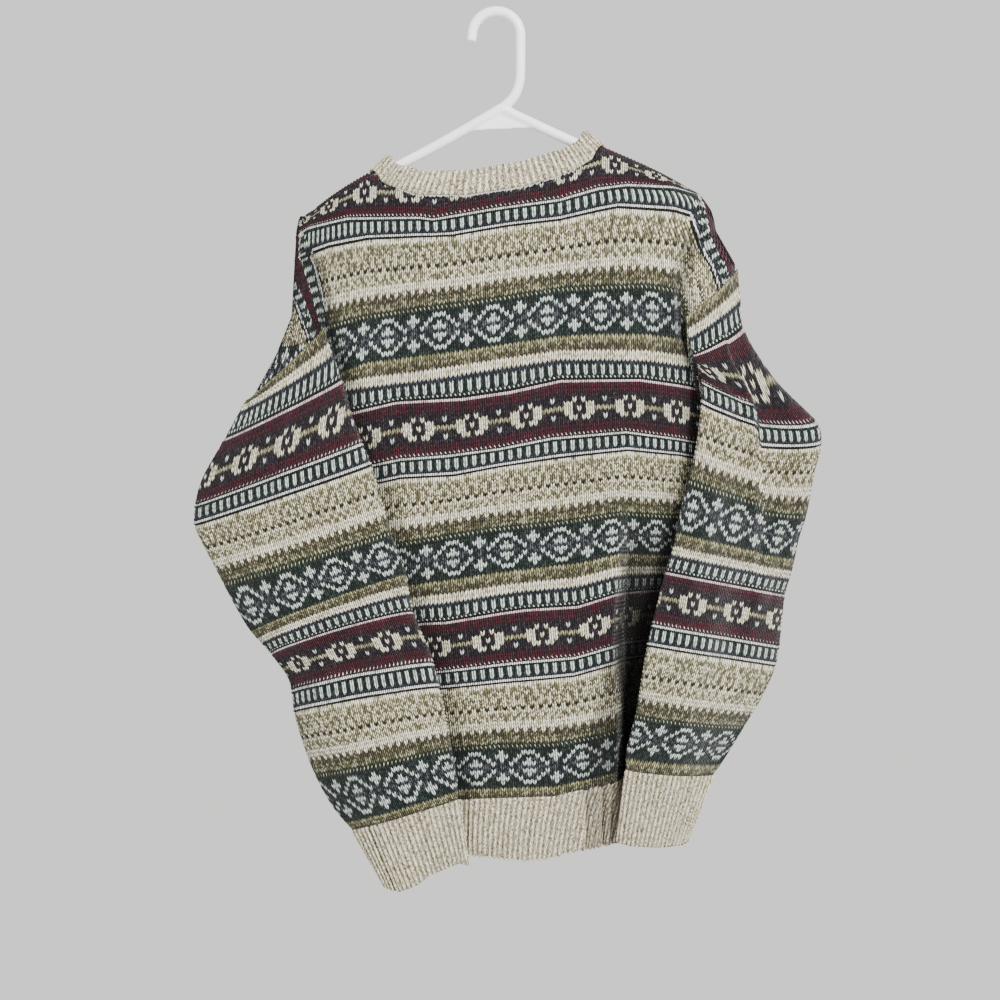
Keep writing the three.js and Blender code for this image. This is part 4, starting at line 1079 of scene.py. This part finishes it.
def makeHem(isBack):
    columns = hem["ribs"] * rib["pointsPerRib"] + 1
    fine = np.linspace(0, 1, fineSteps["hem"])
    seamX = ribSeam[0][0] + (ribSeam[-1][0] - ribSeam[0][0]) * fine
    edgeX = hemEdge[0][0] + (hemEdge[-1][0] - hemEdge[0][0]) * fine
    top = readTable(ribSeam, 1, seamX) - body["seamGap"]
    edge = readTable(hemEdge, 1, edgeX)
    rows = int(np.mean(top - edge) / rib["rowHeight"]) * 2 + 1
    t = np.linspace(0, 1, rows)[:, None]
    z = top[None, :] * (1 - t) + edge[None, :] * t
    x = section(z, 1) + (section(z, 2) - section(z, 1)) * fine[None, :]
    depth = bodyDepth(x, z, isBack)
    for place, width, pleat in (hem["backPleats"] if isBack else hem["frontPleats"]):
        depth = depth - pleat * bump(x - place, width) * smoothStep(t, -0.6, 0.5)
    steps = np.hypot(np.diff(x, axis=1, prepend=x[:, :1]), np.diff(depth, axis=1, prepend=depth[:, :1]))
    arc = np.cumsum(steps, axis=1)
    share = np.linspace(0, 1, columns)
    line = np.empty((3, rows, columns))
    for r in range(rows):
        for n, values in enumerate((x, depth, z)):
            line[n, r] = np.interp(share * arc[r, -1], arc[r], values[r])
    scallop = np.cos(np.arange(columns) * 2 * np.pi / rib["pointsPerRib"])[None, :]
    side = -1 if isBack else 1
    y = np.where(isBack, -line[1], np.maximum(body["seamGap"], line[1]))
    y = np.where((share < 0.01) | (share > 0.99), side * body["seamGap"], y)
    points = np.stack([line[0], y, line[2] - hem["scallop"] * t ** 3 * scallop], axis=2)
    name = "backHem" if isBack else "frontHem"
    node = "hem_rib_back" if isBack else "hem_rib_front"
    return makeRib(name, points, False, node, lambda p: np.array([0, side, 0]))


backHem = makeHem(True)
frontHem = makeHem(False)

neckband = dict(rise=26, sideRise=9, inward=16, lean=8, roll=1.6, ribs=104, rows=15)


def makeNeckband():
    columns = neckband["ribs"] * rib["pointsPerRib"]
    angle = 2 * np.pi * np.arange(columns)[None, :] / columns
    up = np.linspace(0, 1, neckband["rows"])[:, None]
    spread = np.abs(np.sin(angle))
    isBack = np.sin(angle) < 0
    x = neckMiddle + np.cos(angle) * (neckHalf - rib["seamGap"] - up * neckband["inward"])
    seamX = neckMiddle + np.cos(angle) * neckHalf
    dip = np.where(isBack, 0, body["frontDrop"] * spread ** body["neckDropPower"])
    rise = neckband["sideRise"] + (neckband["rise"] - neckband["sideRise"]) * spread ** 0.7
    deep = np.where(isBack, body["neckBack"], body["neckFront"]) * neckSpread(seamX) ** body["neckSpreadPower"]
    roll = neckband["roll"] * np.sin(np.pi * up)
    y = np.sign(np.sin(angle)) * (deep - up * neckband["lean"] * spread ** 0.6 + roll * spread)
    z = neckSeamHeight(seamX) - dip + rib["seamGap"] + up * rise
    points = np.stack([x + 0 * z, y + 0 * z, z], axis=2)
    return makeRib("neckbandRib", points, True, "neckband", awayFromRing)


neckPiece = makeNeckband()
print("ribs are knitted")


plasticLook = dict(
    shade=(0.80, 0.815, 0.83), light=(0.88, 0.89, 0.90), clouds=(18, 3, 0.55), grain=(900, 2, 0.5),
    roughness=(0.16, 0.24), bumpStrength=0.25, bumpHeight=0.0003,
)


def moldedPlastic():
    material, tree, shader = newMaterial("moldedWhitePlastic")
    place = addNode(tree, "TexCoord", {})["Object"]
    clouds = noiseNode(tree, place, *plasticLook["clouds"])
    ramp = addNode(tree, "ValToRGB", {0: clouds})
    stops = ramp[0].node.color_ramp.elements
    for stop, position, color in ((stops[0], 0.3, "shade"), (stops[1], 0.75, "light")):
        stop.position = position
        stop.color = (*plasticLook[color], 1)
    feed(tree, shader, {
        "Base Color": ramp[0], "Roughness": maths(tree)("MULTIPLY_ADD", clouds, *plasticLook["roughness"]),
        "Normal": addNode(tree, "Bump", {
            "Strength": plasticLook["bumpStrength"], "Distance": plasticLook["bumpHeight"],
            "Height": noiseNode(tree, place, *plasticLook["grain"])})[0],
    })
    return material


def tubeAlong(name, points, radius):
    bpy.ops.curve.primitive_nurbs_path_add(location=(0, 0, 0))
    tube = bpy.context.object
    tube.name = name
    curve = tube.data
    curve.splines.clear()
    spline = curve.splines.new("NURBS")
    spline.points.add(len(points) - 1)
    for point, (x, y, z) in zip(spline.points, points):
        point.co = (x * 0.001, y * 0.001, z * 0.001, 1)
    spline.use_endpoint_u = True
    spline.order_u = 3
    curve.resolution_u = 6
    curve.bevel_depth = radius * 0.001
    curve.bevel_resolution = 5
    curve.use_fill_caps = True
    bpy.ops.object.convert(target="MESH")
    return bpy.context.object


def hookPath():
    r = hanger["hook"]
    height = hanger["tube"] - r
    points = [(-r - 1, 0, height - 6)]
    for degrees in range(180, -1, -12):
        a = math.radians(degrees)
        points.append((math.cos(a) * r * 1.01, 0, height + math.sin(a) * r * 1.01))
    return points + [(r, 0, -40), (r, 0, -56), (r - 1, 0, -70), (r - 7, 0, -84), (8, 0, -92), (3, 0, -96)]


def armPath(side):
    x0, endX = hanger["apexX"], hanger[side + "X"]
    endZ = hanger[side + "Z"]
    out = 1 if endX > x0 else -1
    points = []
    for n in range(15):
        x = x0 + (endX - x0) * n / 14
        points.append((x, 0, float(armHeight(x)) - (hanger["endDip"] if n == 14 else 0)))
    turn = endX + out * hanger["endRadius"] * 0.35
    drop = hanger["barDrop"]
    points.append((turn + out * hanger["endRadius"] * 0.5, 0, endZ - drop * 0.3))
    points.append((turn + out * hanger["endRadius"] * 0.45, 0, endZ - drop * 0.68))
    points.append((endX, 0, endZ - drop))
    for x in (endX - out * 14, endX - out * 60, x0 - out * 3):
        t = (x - hanger["leftX"]) / (hanger["rightX"] - hanger["leftX"])
        points.append((x, 0, hanger["leftZ"] + (hanger["rightZ"] - hanger["leftZ"]) * t - drop - 1))
    return points


def makeHanger():
    pieces = [tubeAlong(name, path, hanger["radius"]) for name, path in (
        ("hookTube", hookPath()), ("leftTube", armPath("left")), ("rightTube", armPath("right")))]
    bpy.ops.mesh.primitive_grid_add(x_subdivisions=24, y_subdivisions=2, size=1, location=(0, 0, 0))
    web = bpy.context.object
    web.name = "apexWeb"
    low, high = hanger["webLeft"], hanger["webRight"]
    for vertex in web.data.vertices:  # the flat plate between the arms, with a curved lower edge
        x = low + (high - low) * (vertex.co.x + 0.5)
        t = (x - low) / (high - low)
        upper = float(armHeight(x))
        chord = float(armHeight(low)) * (1 - t) + float(armHeight(high)) * t
        lower = chord + (hanger["webFoot"] - chord) * math.sin(math.pi * t) * 0.35
        z = lower + (upper - lower) * (vertex.co.y + 0.5)
        vertex.co = (x * 0.001, -hanger["webThick"] * 0.0005, z * 0.001)
    plate = web.modifiers.new("plate", "SOLIDIFY")
    plate.thickness = hanger["webThick"] * 0.001
    plate.offset = 0
    bpy.ops.object.modifier_apply(modifier="plate")
    alone(*pieces, web)
    bpy.ops.object.join()
    whole = bpy.context.object
    whole.name = "moldedHanger"
    blend = whole.modifiers.new("blend", "REMESH")
    blend.mode = "VOXEL"
    blend.voxel_size = hanger["voxel"]
    blend.use_smooth_shade = True
    bpy.ops.object.modifier_apply(modifier="blend")
    soften = whole.modifiers.new("soften", "SMOOTH")
    soften.factor = 0.5
    soften.iterations = hanger["smoothing"]
    bpy.ops.object.modifier_apply(modifier="soften")
    bpy.ops.object.transform_apply(location=True, rotation=True, scale=True)
    whole.data.materials.clear()
    whole.data.materials.append(moldedPlastic())
    whole.data.shade_smooth()
    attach(whole, "root")
    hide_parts("hanger")
    return whole


hangerPiece = makeHanger()
print("hanger is moulded")
